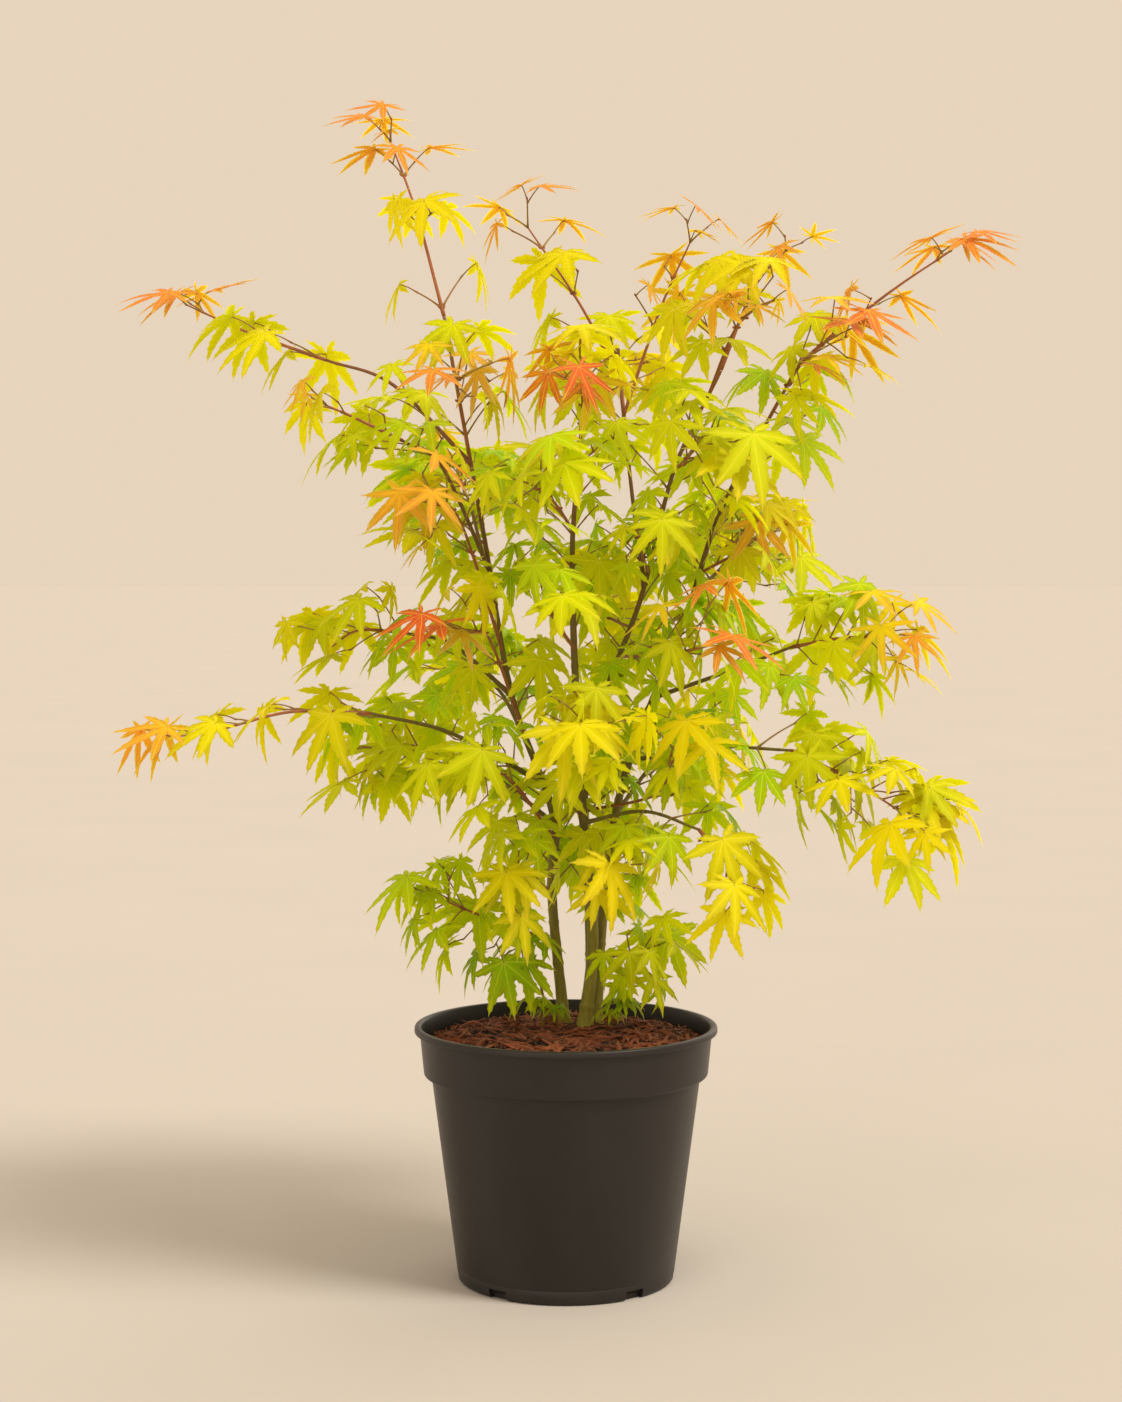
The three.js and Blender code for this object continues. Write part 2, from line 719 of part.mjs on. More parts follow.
// A leaf with its stalk, as one closed solid. The stalk has three sides and passes the given points, and
// the blade is a star with a ridge along each lobe: a fan above, and a flatter floor below.
function leafSolid(leaf, path, radii) {
  const corners = [];
  const faces = [];
  const stalkEnd = leafPoint(leaf, 180, STALK_END);
  const stations = [...path, stalkEnd];
  stations.forEach((centre, i) => {
    const before = stations[Math.max(i - 1, 0)];
    const after = stations[Math.min(i + 1, stations.length - 1)];
    const along = after.clone().sub(before).normalize();
    const last = i === stations.length - 1;
    const across = last
      ? leaf.aside.clone()
      : leaf.aside.clone().addScaledVector(along, -leaf.aside.dot(along)).normalize();
    const over = last ? leaf.face.clone() : new THREE.Vector3().crossVectors(along, across);
    const radius = radii[i];
    corners.push(centre.clone().addScaledVector(across, -radius));
    corners.push(centre.clone().addScaledVector(across, radius));
    corners.push(centre.clone().addScaledVector(over, -radius));
  });
  faces.push(0, 1, 2);
  for (let i = 0; i + 1 < stations.length; i += 1) {
    for (let side = 0; side < TWIG_SIDES; side += 1) {
      const a = TWIG_SIDES * i + side;
      const b = TWIG_SIDES * i + ((side + 1) % TWIG_SIDES);
      faces.push(a, a + TWIG_SIDES, b, b, a + TWIG_SIDES, b + TWIG_SIDES);
    }
  }
  const rightEnd = TWIG_SIDES * (stations.length - 1);
  const leftEnd = rightEnd + 1;
  const underEnd = rightEnd + 2;
  const first = corners.length;
  LOBES.forEach(([angle, share], lobe) => {
    corners.push(leafPoint(leaf, angle, share));
    if (lobe < NOTCHES.length) corners.push(leafPoint(leaf, ...NOTCHES[lobe]));
  });
  const last = corners.length - 1;
  const crown = corners.length;
  corners.push(leaf.foot.clone().addScaledVector(leaf.face, LEAF_THICKNESS * leaf.length));
  for (let i = first; i < last; i += 1) faces.push(crown, i, i + 1);
  faces.push(crown, last, leftEnd, crown, leftEnd, rightEnd, crown, rightEnd, first);
  for (let i = first + 1; i < last; i += 2) {
    if (i + 2 <= last) faces.push(i, i + 2, i + 1);
    faces.push(underEnd, i + 2 <= last ? i + 2 : leftEnd, i);
  }
  faces.push(first, rightEnd, first + 1, first + 1, rightEnd, underEnd);
  faces.push(last, last - 1, leftEnd);
  const shape = new THREE.BufferGeometry().setFromPoints(corners);
  shape.setIndex(faces);
  return solidOf(shape);
}

// A spray: its first leaf carries the shoot on to the leader, and the second is seated inside the shoot
function spraySolids({ root, tip, leaves }) {
  const seat = root.clone().lerp(tip, STALK_SEAT);
  return leaves.map((leaf, i) =>
    i === 0
      ? leafSolid(leaf, [root, tip], [SHOOT_RADIUS, SHOOT_TIP_RADIUS, STALK_RADIUS])
      : leafSolid(leaf, [seat], [STALK_ROOT_RADIUS, STALK_RADIUS]),
  );
}

// One mass as one solid, cut a gap clear of the limb that it grows on
function massSolid(grown, { limb, along }, limbs) {
  const { curve, grown: cutter } = limbs[limb];
  const radiusAt = (share) => LEADER_RADIUS + (LEADER_TIP_RADIUS - LEADER_RADIUS) * share;
  const atTip = along === 1;
  const startAxis = atTip ? curve.getTangent(1) : null;
  const leader = tube(grown.leader, radiusAt, TWIG_SIDES, grown.shares, startAxis);
  const whole = wasm.Manifold.union([leader, ...grown.sprays.flatMap(spraySolids)]);
  return mainBody(atTip ? whole : whole.subtract(cutter));
}

// The whole plant: limbs, leaders, and the rule that gives each mass the space nearest to its own leader
function growPlant() {
  const limbs = growLimbs();
  const names = Object.keys(FOLIAGE);
  const leaders = {};
  const spaces = {};
  for (const name of names) {
    leaders[name] = leaderCurve(limbs, FOLIAGE[name]);
    spaces[name] = beadsOf(leaders[name], () => 0);
  }
  const staysInside = (name, point) => {
    const own = distanceTo(spaces[name], point) + SPACE_ROOM;
    return names.every((other) => other === name || distanceTo(spaces[other], point) > own);
  };
  const limbBeads = Object.values(limbs).flatMap((limb) => limb.beads);
  const plant = { limbs, leaders, spaces, limbBeads, staysInside };
  const masses = names.map((name, index) => growMass(plant, name, index));
  return { limbs, masses: Object.fromEntries(names.map((name, i) => [name, masses[i]])) };
}

// Finishes
const potPlastic = new THREE.MeshStandardMaterial({ color: 0x2b2a29, roughness: 0.55, metalness: 0 });
const barkMulch = new THREE.MeshStandardMaterial({ color: 0x4a2c1f, roughness: 0.95, metalness: 0 });
const stemBark = new THREE.MeshStandardMaterial({ color: 0x6f5f33, roughness: 0.75, metalness: 0 });
const leafGreen = new THREE.MeshStandardMaterial({ color: 0x9db321, roughness: 0.6, metalness: 0 });

function named(name, solid, material) {
  const mesh = new THREE.Mesh(geometryOf(solid), material);
  mesh.name = name;
  return mesh;
}

export function buildMaple() {
  const maple = new THREE.Group();
  maple.add(named("pot", potSolid(), potPlastic));
  maple.add(named("soil", soilSolid(), barkMulch));
  const { limbs, masses } = growPlant();
  for (const [name, limb] of Object.entries(limbs)) maple.add(named(name, limb.solid, stemBark));
  for (const [name, grown] of Object.entries(masses)) {
    maple.add(named(`foliage_${name}`, massSolid(grown, FOLIAGE[name], limbs), leafGreen));
  }
  return maple;
}

export default buildMaple();
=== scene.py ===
"""A young Japanese maple in a round nursery pot: bark, mulch, twigs and autumn-tinted leaves.

Lengths in the tables are millimetres, +Z up, X to the right and Y to the back, with the origin in the
middle of the pot's flat underside. They become metres when a mesh is made.
"""

import functools
import math
from collections import namedtuple

import bpy
import numpy as np
from bpy.props import FloatProperty, FloatVectorProperty, IntProperty, PointerProperty
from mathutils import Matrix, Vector, noise


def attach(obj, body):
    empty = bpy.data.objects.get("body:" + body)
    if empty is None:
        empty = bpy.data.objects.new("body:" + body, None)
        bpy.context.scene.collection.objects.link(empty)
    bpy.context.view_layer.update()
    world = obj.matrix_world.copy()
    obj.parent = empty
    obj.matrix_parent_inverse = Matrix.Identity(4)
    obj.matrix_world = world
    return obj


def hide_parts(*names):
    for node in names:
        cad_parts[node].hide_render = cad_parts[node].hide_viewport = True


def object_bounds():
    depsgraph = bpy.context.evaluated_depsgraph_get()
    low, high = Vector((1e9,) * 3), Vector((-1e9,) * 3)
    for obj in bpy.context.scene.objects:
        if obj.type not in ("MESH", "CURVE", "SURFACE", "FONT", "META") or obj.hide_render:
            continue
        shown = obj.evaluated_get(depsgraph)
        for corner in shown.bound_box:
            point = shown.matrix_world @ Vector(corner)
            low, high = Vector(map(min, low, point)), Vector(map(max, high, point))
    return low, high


bl_info = {
    "name": "Potted Japanese maple",
    "version": (1, 0, 0),
    "blender": (4, 5, 0),
    "location": "View3D > Sidebar > Maple",
    "description": "Builds a young maple with several stems in a nursery pot",
    "category": "Add Mesh",
}

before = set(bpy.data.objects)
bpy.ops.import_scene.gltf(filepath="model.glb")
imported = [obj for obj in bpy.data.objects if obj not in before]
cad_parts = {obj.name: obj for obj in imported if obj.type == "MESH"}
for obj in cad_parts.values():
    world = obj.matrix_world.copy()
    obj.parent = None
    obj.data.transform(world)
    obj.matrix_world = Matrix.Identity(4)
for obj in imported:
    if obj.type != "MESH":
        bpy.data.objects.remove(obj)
FRAME_BOX = [list(corner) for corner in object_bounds()]

MM = 0.001
UP = np.array([0.0, 0.0, 1.0])

# The pot, as in the part's source
POT_HEIGHT = 160
RIM_RADIUS = 95
LIP_HEIGHT = 4.5
LIP_INNER_RADIUS = 90.4
COLLAR_HEIGHT = 31.5
COLLAR_TOP_RADIUS = 91.5
COLLAR_FOOT_RADIUS = 89
BODY_TOP_RADIUS = 84.3
BASE_RADIUS = 68
BASE_ROUNDING = 3
WALL = 2
FLOOR = 3
NOTCH_WIDTH = 13
NOTCH_HEIGHT = 6
NOTCH_DEPTH = 4
NOTCH_ANGLES = (-38, 38, -85, 85, -142, 142)
BASE_LINE_HEIGHT = 9
BASE_LINE_DEPTH = 0.35
ROUNDING_STEPS = 4
POT_CREASE = 38

# The mulch
SOIL_CENTRE_HEIGHT = 155
SOIL_EDGE_HEIGHT = 150.5
SOIL_LEVEL_RADIUS = 40
SOIL_ROUGHNESS = 1.5
SOIL_GAP = 0.4
SOIL_LOWERED = 1.2
TINY = 0.01
SOIL_GRAIN = 0.55
LUMP_LENGTH = 17
CRUMB_LENGTH = 4.5
LUMP_LAYER = 7
CRUMB_LAYER = 3
MULCH_SIDES = 180
MULCH_RINGS = 46

# The bark chips. Lengths in their nodes are metres: where they get smaller towards the wall, and end
CHIP_KINDS = 5
CHIP_STATIONS = 5
CHIP_SEED = 500
STREWN_SEED = 7
CHIP_TILT = 0.3
CHIP_WIDTH = (0.035, 0.075)
CHIP_DEPTH = (0.45, 0.75)
CHIP_BEND = 0.06
CHIP_ARCH = 0.05
CHIPS_SHRINK = (0.074, 0.0845)
CHIP_SIZE_AT_WALL = 0.3
CHIPS_END = 0.0855

# Limbs
GAP = 0.3
GROUND = SOIL_CENTRE_HEIGHT + GAP
FLARE = 0.45
FLARE_HEIGHT = 9
STEEP = 0.7
STEM_SIDES = 20
BOUGH_SIDES = 14
RING_STEP = 2
SLIMMER = 0.3
STEM_SINK = 5
SUNK_SHARE = 1.05
FEWEST_STATIONS = 8
BOUGH_SWELL = 0.45
SWELL_LENGTH = 5

# The bark's relief: ridges by a noise, and a ring with a hollow beside it at each old leaf node
BARK_SEED = 31
RIDGES_ROUND = 1.4
RIDGE_LENGTH = 11
FINER_RIDGES = 2.7
BARK_NODE_STEP = 34
FIRST_BARK_NODE = (0.4, 0.5)
NEXT_BARK_NODE = (0.75, 0.5)
NODE_RINGS = ((0.15, 1.3), (-0.05, 5))

# The solid leaf of the source: its lobes and notches, which a leaf is fitted by
STALK_SHARE = 0.42
STALK_SEAT = 0.86
LEAF_FALL = 0.24
LOBES = ((-88, 0.66), (-41, 0.92), (0, 1), (41, 0.92), (88, 0.66))
NOTCHES = ((-62, 0.32), (-20, 0.4), (20, 0.4), (62, 0.32))
PROBE_SHARES = (0.25, 0.5, 0.75, 1)

# The growth rule. Each pair is the least value and the range that one draw from 0 to 1 adds to it.
SHOOT_REACH = (0.65, 0.7)
SHOOT_SHORTENING = 0.35
SHOOT_LIFT = (-0.15, 0.55)
SHOOT_FORWARD = (0.45, 0.4)
LAST_SHOOT_FORWARD = 0.5
SHOOT_ROOM = 1.5
SHOOT_MIDDLE = 0.6
LEAF_FORK = (0.55, 0.5)
LEAF_LIFT = (0, 0.25)
LEAF_SIZE = (0.82, 0.3)
LEAF_DROOP = (18, 50)
LEAF_ROLL = (-28, 56)
LAST_LEAF = 0.87
RISING_SHARE = 0.7
BUD_SIZE = (0.53, 0.19)
BUD_DROOP = (10, 30)
BUD_ROLL = (-20, 40)
BUD_RISE = 1.5
BUD_SEAT = 0.93
UPRIGHT = 0.75
NODE_TURN = 90
FIRST_NODE_TURN = 35
TRIES = ((0, 1, 0), (28, 0.95, 12), (-28, 0.95, -8), (55, 0.86, 22), (-55, 0.86, 22), (15, 0.75, 35))
SPACE_ROOM = 1.5
LOWEST_LEAF = POT_HEIGHT + 4
BEAD_STEP = 8
SEED = 4127
SEED_STEP = 7919

# The room that a leaf keeps to limbs, to other leaves and to its mass's leader
SOURCE_ROOMS = (6, 5.5, 3.5)
FINE_ROOMS = (3, 3.2, 2)
INNER_ROOMS = (3, 3.4, 0)

# What is grown here beyond the source: finer shoots between a leader's nodes, young pairs, and inner sprays
FINE_SEED = 60271
FINE_TURN = (35, 110)
FINE_LEAF = (0.62, 0.3)
FINE_SHOOT = (0.5, 0.6)
FINE_NODES_FROM = 0.15
YOUNG_LEAF = (0.3, 0.16)
YOUNG_RISE = 18
YOUNG_REACH = 4
YOUNG_FORK = 0.6
FLATTER = 18
FLATTER_ABOVE = 430
INNER_SEED = 90173
INNER_STEP = 24
INNER_TURN = (0, 40)
INNER_LIFT = 0.1
INNER_LOWEST = 236
INNER_HIGHEST = 560
INNER_REACH = (14, 26)
INNER_LEAF = (29, 12)
INNER_MARGIN = 12

# Added to a shoot's sideways direction, which would be nothing on an upright one
NEVER_ZERO = 1e-6

# Stems: the points each one passes, and its radius at the foot and at the tip
STEMS = {
    "stem_left": (
        [(-1, 28, GROUND), (-9, 23, 240), (-8, 17, 290), (-34, 10, 366), (-51, 0, 466), (-75, -8, 600)],
        3.6, 1.5),
    "stem_centre": (
        [(12, 19, GROUND), (17, 17, 214), (10, 3, 300), (5, -10, 396), (4, -17, 462), (9, -20, 528)],
        4.3, 1.5),
    "stem_right": (
        [(19, 28, GROUND), (25, 39, 235), (38, 44, 313), (76, 48, 412), (100, 41, 485), (147, 18, 575)],
        3.7, 1.5),
}

# Limbs that leave another one: which, how far along it, the points passed after that, and the two radii
BOUGHS = {
    "stem_middle": (
        "stem_centre", 0.1, [(14, 34, 250), (15, 33, 335), (47, 22, 426), (68, 11, 508), (96, 2, 568)],
        3, 1.5),
    "stem_upper": ("stem_middle", 0.62, [(43, 34, 484), (34, 42, 566)], 1.9, 1.4),
    "bough_upper_left": ("stem_left", 0.87, [(-108, 14, 560), (-150, 22, 576)], 1.6, 1.3),
    "bough_second_left": ("stem_left", 0.76, [(-76, -32, 508), (-98, -52, 522)], 1.6, 1.3),
    "bough_middle_left": ("stem_left", 0.6, [(-70, -10, 398), (-98, -26, 406)], 1.8, 1.3),
    "bough_low_left": ("stem_left", 0.46, [(-70, -22, 344), (-118, -50, 358)], 2, 1.4),
    "bough_low_left_rear": ("stem_left", 0.38, [(-44, 34, 312), (-76, 46, 326)], 1.8, 1.3),
    "bough_middle_right": ("stem_right", 0.5, [(98, 36, 378), (142, 18, 396)], 1.9, 1.3),
    "bough_low_right": ("stem_right", 0.42, [(88, 4, 334), (138, -26, 334)], 1.9, 1.3),
    "bough_hanging_right": ("stem_centre", 0.37, [(48, -22, 296), (80, -52, 288)], 1.7, 1.2),
    "bough_rear_low_left": ("stem_left", 0.5, [(-40, 66, 362), (-56, 108, 374)], 1.8, 1.3),
    "bough_rear_low_right": ("stem_right", 0.34, [(58, 90, 318), (74, 126, 330)], 1.8, 1.3),
    "bough_rear_high_left": ("stem_left", 0.72, [(-60, 46, 482), (-66, 78, 496)], 1.6, 1.2),
    "bough_rear_high_right": ("stem_right", 0.64, [(104, 90, 448), (112, 122, 460)], 1.7, 1.2),
}

# The old cut stub between the two shoots at the tip of stem_upper
STUB = [(34, 42, 560), (33, 42, 574), (32, 41, 585)]
STUB_RADIUS = 2.1
STUB_STATIONS = 16
STUB_SWELL = 0.2
STUB_SEED = 977


# A mass of foliage: the limb it grows on and how far along it, the points its leader passes, the leaf nodes
# as shares of the leader, the length of the shoots there, the length of a leaf's middle lobe, how far in
# degrees the young leaves at its end rise, the region its leaves are joined in, and its tints from start to
# end
Mass = namedtuple("Mass", "limb along through nodes shoot leaf rise region tints")
PLAIN_NODES = (0.35, 0.6, 0.82)
FOLIAGE = {
    "tip_left": Mass(
        "stem_left", 1, [(-92, -8, 664), (-108, -3, 708)], (0.04, 0.42, 0.74), 20, 34, 30,
        "left", "yellow_green yellow coral coral"),
    "upper_left": Mass(
        "bough_upper_left", 1, [(-200, 30, 594), (-240, 36, 612)], (0.06, 0.3, 0.86), 20, 42, 40,
        "left", "yellow_green lime amber coral coral"),
    "shoulder_left": Mass(
        "stem_left", 0.88, [(-66, -36, 556), (-62, -76, 558)], PLAIN_NODES, 30, 46, 0,
        "left", "yellow_green salmon yellow coral"),
    "second_left": Mass(
        "bough_second_left", 1, [(-128, -66, 536), (-142, -72, 542)], (0.15, 0.6), 20, 36, 0,
        "left", "lime yellow_green orange"),
    "left": Mass(
        "stem_left", 0.66, [(-64, -44, 474), (-80, -80, 484)], PLAIN_NODES, 28, 44, 0,
        "left", "leaf_green leaf_green yellow_green bronze amber orange"),
    "middle_left": Mass(
        "bough_middle_left", 1, [(-126, -40, 408), (-142, -48, 398)], (0.05, 0.45, 0.8), 26, 42, 0,
        "left", "yellow_green yellow yellow_green amber"),
    "front_left": Mass(
        "stem_left", 0.54, [(-46, -44, 402), (-56, -90, 408)], PLAIN_NODES, 28, 44, 0,
        "left", "lime yellow_green salmon scarlet"),
    "low_left": Mass(
        "bough_low_left", 1, [(-164, -66, 360), (-206, -78, 350), (-232, -84, 346)],
        (0.04, 0.26, 0.52, 0.8), 19, 42, 0,
        "left", "yellow_green yellow yellow_green yellow_green orange coral"),
    "low_left_rear": Mass(
        "bough_low_left_rear", 1, [(-104, 48, 332), (-124, 50, 330)], (0.1, 0.55), 26, 44, 0,
        "rear_left", "lime yellow_green yellow_green"),
    "low_front_left": Mass(
        "stem_left", 0.34, [(-34, -28, 316), (-52, -72, 326)], PLAIN_NODES, 30, 46, 0,
        "front", "leaf_green lime lime lime"),
    "foot_left": Mass(
        "stem_left", 0.12, [(-44, -8, 226), (-82, -38, 246)], (0.4, 0.75), 20, 42, 0,
        "front", "leaf_green fresh_green fresh_green"),
    "foot_front": Mass(
        "stem_left", 0.2, [(-22, -14, 256), (-30, -56, 262)], (0.4, 0.65, 0.85), 22, 42, 0,
        "front", "fresh_green fresh_green lime yellow_green"),
    "foot_right": Mass(
        "stem_right", 0.1, [(38, 4, 204), (50, -18, 208)], (0.4, 0.75), 18, 34, 0,
        "front", "leaf_green fresh_green lime"),
    "low_centre": Mass(
        "stem_centre", 0.22, [(24, -26, 258), (30, -66, 268)], (0.4, 0.65, 0.85), 22, 44, 0,
        "front", "lime yellow_green yellow yellow"),
    "middle_front": Mass(
        "stem_centre", 0.42, [(6, -50, 346), (14, -100, 352)], (0.34, 0.6, 0.82), 30, 45, 0,
        "front", "lime yellow_green yellow yellow_green"),
    "low_right_front": Mass(
        "stem_middle", 0.3, [(56, -10, 306), (64, -62, 338)], (0.4, 0.65, 0.85), 26, 44, 0,
        "front", "leaf_green lime lime yellow"),
    "waist_front": Mass(
        "stem_centre", 0.6, [(-8, -58, 416), (-12, -106, 420)], PLAIN_NODES, 30, 46, 0,
        "front", "fresh_green lime lime lime"),
    "waist_right": Mass(
        "stem_middle", 0.52, [(58, -24, 392), (80, -70, 398)], PLAIN_NODES, 30, 46, 0,
        "front", "leaf_green fresh_green lime coral"),
    "heart": Mass(
        "stem_middle", 0.64, [(46, -28, 456), (42, -80, 468)], PLAIN_NODES, 28, 44, 0,
        "front", "leaf_green fresh_green lime lime"),
    "upper_front": Mass(
        "stem_centre", 0.82, [(-8, -64, 486), (-20, -108, 494)], PLAIN_NODES, 30, 46, 0,
        "front", "fresh_green yellow_green yellow_green lime"),
    "crown_front": Mass(
        "stem_centre", 1, [(10, -42, 544), (8, -82, 552)], (0.15, 0.5, 0.8), 31, 47, 0,
        "top", "yellow_green amber amber coral scarlet"),
    "upper_right": Mass(
        "stem_middle", 0.8, [(72, -34, 510), (78, -84, 522)], PLAIN_NODES, 30, 46, 0,
        "right", "fresh_green lime yellow_green lime"),
    "right": Mass(
        "stem_right", 0.68, [(112, 20, 458), (122, -6, 470)], (0.35, 0.7), 24, 42, 0,
        "right", "lime yellow_green orange yellow_green"),
    "middle_right": Mass(
        "bough_middle_right", 1, [(172, 6, 402), (204, -4, 404)], (0.05, 0.38, 0.72), 26, 44, 0,
        "right", "lime lime amber coral"),
    "low_right": Mass(
        "bough_low_right", 1, [(164, -44, 322), (188, -58, 308), (206, -66, 296)],
        (0.04, 0.3, 0.58, 0.82), 22, 44, 0,
        "right", "lime yellow_green yellow_green yellow yellow"),
    "hanging_right": Mass(
        "bough_hanging_right", 1, [(94, -66, 272), (104, -72, 258)], (0.1, 0.6), 16, 42, 0,
        "front", "yellow_green yellow_green yellow"),
    "far_right": Mass(
        "stem_right", 1, [(200, 2, 616), (236, -10, 640)], (0.1, 0.36, 0.88), 18, 38, 25,
        "right", "coral coral orange coral"),
    "shoulder_right": Mass(
        "stem_right", 0.9, [(142, -22, 568), (158, -58, 584)], PLAIN_NODES, 28, 44, 0,
        "right", "lime yellow_green coral coral"),
    "high_right": Mass(
        "stem_middle", 0.95, [(100, -42, 586), (108, -84, 596)], PLAIN_NODES, 28, 44, 0,
        "top", "lime yellow_green amber orange"),
    "tip_right": Mass(
        "stem_middle", 1, [(116, 0, 618), (136, 2, 642)], (0.3, 0.7), 18, 30, 30,
        "top", "yellow orange coral coral"),
    "top_right": Mass(
        "stem_upper", 0.86, [(60, 34, 610), (78, 26, 650)], (0.4, 0.7), 24, 36, 30,
        "top", "amber orange coral coral"),
    "top_centre": Mass(
        "stem_upper", 1, [(8, 38, 614), (-24, 32, 660)], (0.25, 0.55, 0.86), 28, 40, 30,
        "top", "lime amber yellow_green coral"),
    "rear_low_left": Mass(
        "bough_rear_low_left", 1, [(-66, 140, 380), (-74, 164, 376)], (0.1, 0.55), 28, 46, 0,
        "rear_left", "fresh_green lime yellow_green"),
    "rear_low_right": Mass(
        "bough_rear_low_right", 1, [(86, 152, 336), (92, 172, 334)], (0.1, 0.55), 28, 46, 0,
        "rear_right", "leaf_green lime yellow"),
    "rear_high_left": Mass(
        "bough_rear_high_left", 1, [(-72, 110, 512), (-74, 134, 516)], (0.1, 0.55), 28, 46, 0,
        "rear_left", "fresh_green lime orange"),
    "rear_high_right": Mass(
        "bough_rear_high_right", 1, [(120, 146, 470), (124, 164, 472)], (0.1, 0.55), 28, 46, 0,
        "rear_right", "fresh_green yellow_green amber"),
    "rear_middle": Mass(
        "stem_middle", 0.56, [(28, 78, 414), (22, 128, 424)], (0.42, 0.72), 28, 46, 0,
        "rear_right", "leaf_green lime yellow_green"),
    "rear_top": Mass(
        "stem_upper", 0.7, [(36, 90, 570), (34, 124, 582)], (0.42, 0.72), 28, 46, 0,
        "rear_right", "lime yellow_green amber"),
    "rear_foot": Mass(
        "stem_right", 0.16, [(26, 82, 248), (20, 122, 258)], (0.42, 0.72), 24, 44, 0,
        "rear_left", "leaf_green fresh_green lime"),
}
REGIONS = ("left", "front", "top", "right", "rear_left", "rear_right")

# Masses at the ends of long shoots, where bare wood shows between the pairs of leaves
AIRY = (
    "tip_left", "upper_left", "second_left", "low_left", "hanging_right", "far_right", "tip_right",
    "top_right", "top_centre")

# Small shoots that rise from the mulch beside the stems: foot, tip, leaf length and tint
BASAL_SHOOTS = (
    ((-10, 20, 152), (-23, 8, 214), 27, "leaf_green"),
    ((-13, 14, 152), (-20, 4, 175), 17, "fresh_green"),
    ((-4, 16, 152), (-8, 2, 171), 15, "deep_green"),
    ((29, 22, 152), (36, 8, 174), 17, "leaf_green"),
    ((26, 16, 152), (27, 4, 168), 13, "fresh_green"),
)
BASAL_HOME = "foot_front"

# The leaves of each: heading, share of the length, droop and roll
BASAL_LEAVES = (
    ((-1, -0.4, 0.1), 1.0, 34, 12),
    ((1, -0.5, 0.15), 0.88, 40, 2),
    ((0.1, -1, 0.2), 0.76, 46, -8),
)

# A tint of leaves: its colour on a screen, the tint that the tips of the lobes turn to and how far, the
# tint near the stalk and beside the ribs if it is another, the tint that a finer shoot in the shade has
# instead, and what the tint is for
Tint = namedtuple("Tint", "screen tips turning heart shaded use")
TINTS = {
    "deep_green": Tint((94, 150, 0), "leaf_green", 0.4, None, None, "Leaves in deep shade"),
    "leaf_green": Tint((130, 184, 0), "fresh_green", 0.4, None, "deep_green", "Leaves inside the crown"),
    "fresh_green": Tint((164, 202, 0), "yellow_green", 0.4, None, "leaf_green", "Leaves near the light"),
    "lime": Tint((198, 213, 0), "amber", 0.35, None, "fresh_green", "Leaves in full light"),
    "yellow_green": Tint((222, 208, 2), "amber", 0.5, None, "lime", "Leaves that begin to turn"),
    "yellow": Tint((238, 210, 4), "amber", 0.6, None, "lime", "Leaves that have turned yellow"),
    "amber": Tint(
        (240, 166, 30), "orange", 0.6, "yellow", "yellow_green", "Leaves between yellow and orange"),
    "orange": Tint((236, 124, 40), "coral", 0.6, "amber", "yellow_green", "Leaves that have turned orange"),
    "coral": Tint((226, 84, 48), "scarlet", 0.4, "orange", "amber", "Young leaves at the tips"),
    "scarlet": Tint((208, 46, 32), "coral", 0.3, "coral", "yellow_green", "The reddest leaves"),
    "salmon": Tint((238, 130, 76), "coral", 0.8, "amber", "lime", "Pale orange leaves"),
    "bronze": Tint((198, 136, 18), "orange", 0.6, "yellow_green", "lime", "Brownish olive leaves"),
}
SHADED_SHARE = 0.65
INNER_TINTS = ("leaf_green", "leaf_green", "fresh_green", "fresh_green", "lime", "lime")


def linear(red, green, blue):
    """A colour as a screen shows it, 0 to 255 each, as the linear colour that a material takes."""
    shares = (value / 255 for value in (red, green, blue))
    return tuple(s / 12.92 if s <= 0.04045 else ((s + 0.055) / 1.055) ** 2.4 for s in shares)


def colour_property(name, description, default):
    return FloatVectorProperty(
        name=name, description=description, default=default, subtype="COLOR", min=0, max=1)


class PotSettings(bpy.types.PropertyGroup):
    """The moulded pot"""

    colour: colour_property("Plastic", "Colour of the moulded plastic", linear(29, 25, 22))
    roughness: FloatProperty(
        name="Roughness", description="How matt the plastic is", default=0.4,
        min=0, max=1, subtype="FACTOR")
    sides: IntProperty(
        name="Sides", description="Flat sides round the pot", default=160, min=32, max=512)


class MulchSettings(bpy.types.PropertyGroup):
    """The bark mulch on the compost"""

    dark: colour_property("Dark", "Colour of the compost and of wet bark", linear(25, 11, 5))
    light: colour_property("Light", "Colour of dry, reddish bark", linear(160, 86, 44))
    chips: FloatProperty(
        name="Chips", description="Chips on each square metre", default=84000, min=1000, max=400000)
    shortest: FloatProperty(
        name="Shortest", description="Length of the shortest chip", default=0.009, min=0.001, max=0.02,
        subtype="DISTANCE", unit="LENGTH")
    longest: FloatProperty(
        name="Longest", description="Length of the longest chip", default=0.029, min=0.002, max=0.05,
        subtype="DISTANCE", unit="LENGTH")


class BarkSettings(bpy.types.PropertyGroup):
    """The bark of stems, boughs and twigs"""

    foot: colour_property("Foot", "Colour at the foot of the stems", linear(152, 142, 36))
    middle: colour_property("Middle", "Colour half way up", linear(116, 100, 36))
    tip: colour_property("Tip", "Colour of young wood", linear(140, 82, 42))
    relief: FloatProperty(
        name="Relief", description="Height of the bark's ridges as a share of the radius", default=0.07,
        min=0, max=0.3, subtype="FACTOR")


class FoliageSettings(bpy.types.PropertyGroup):
    """The leaves and their stalks"""

    stalk: colour_property("Stalk", "Colour of leaf stalks", linear(150, 92, 44))
    inner: FloatProperty(
        name="Inner sprays", description="Share of the possible inner sprays that grow", default=0.68,
        min=0, max=1, subtype="FACTOR")


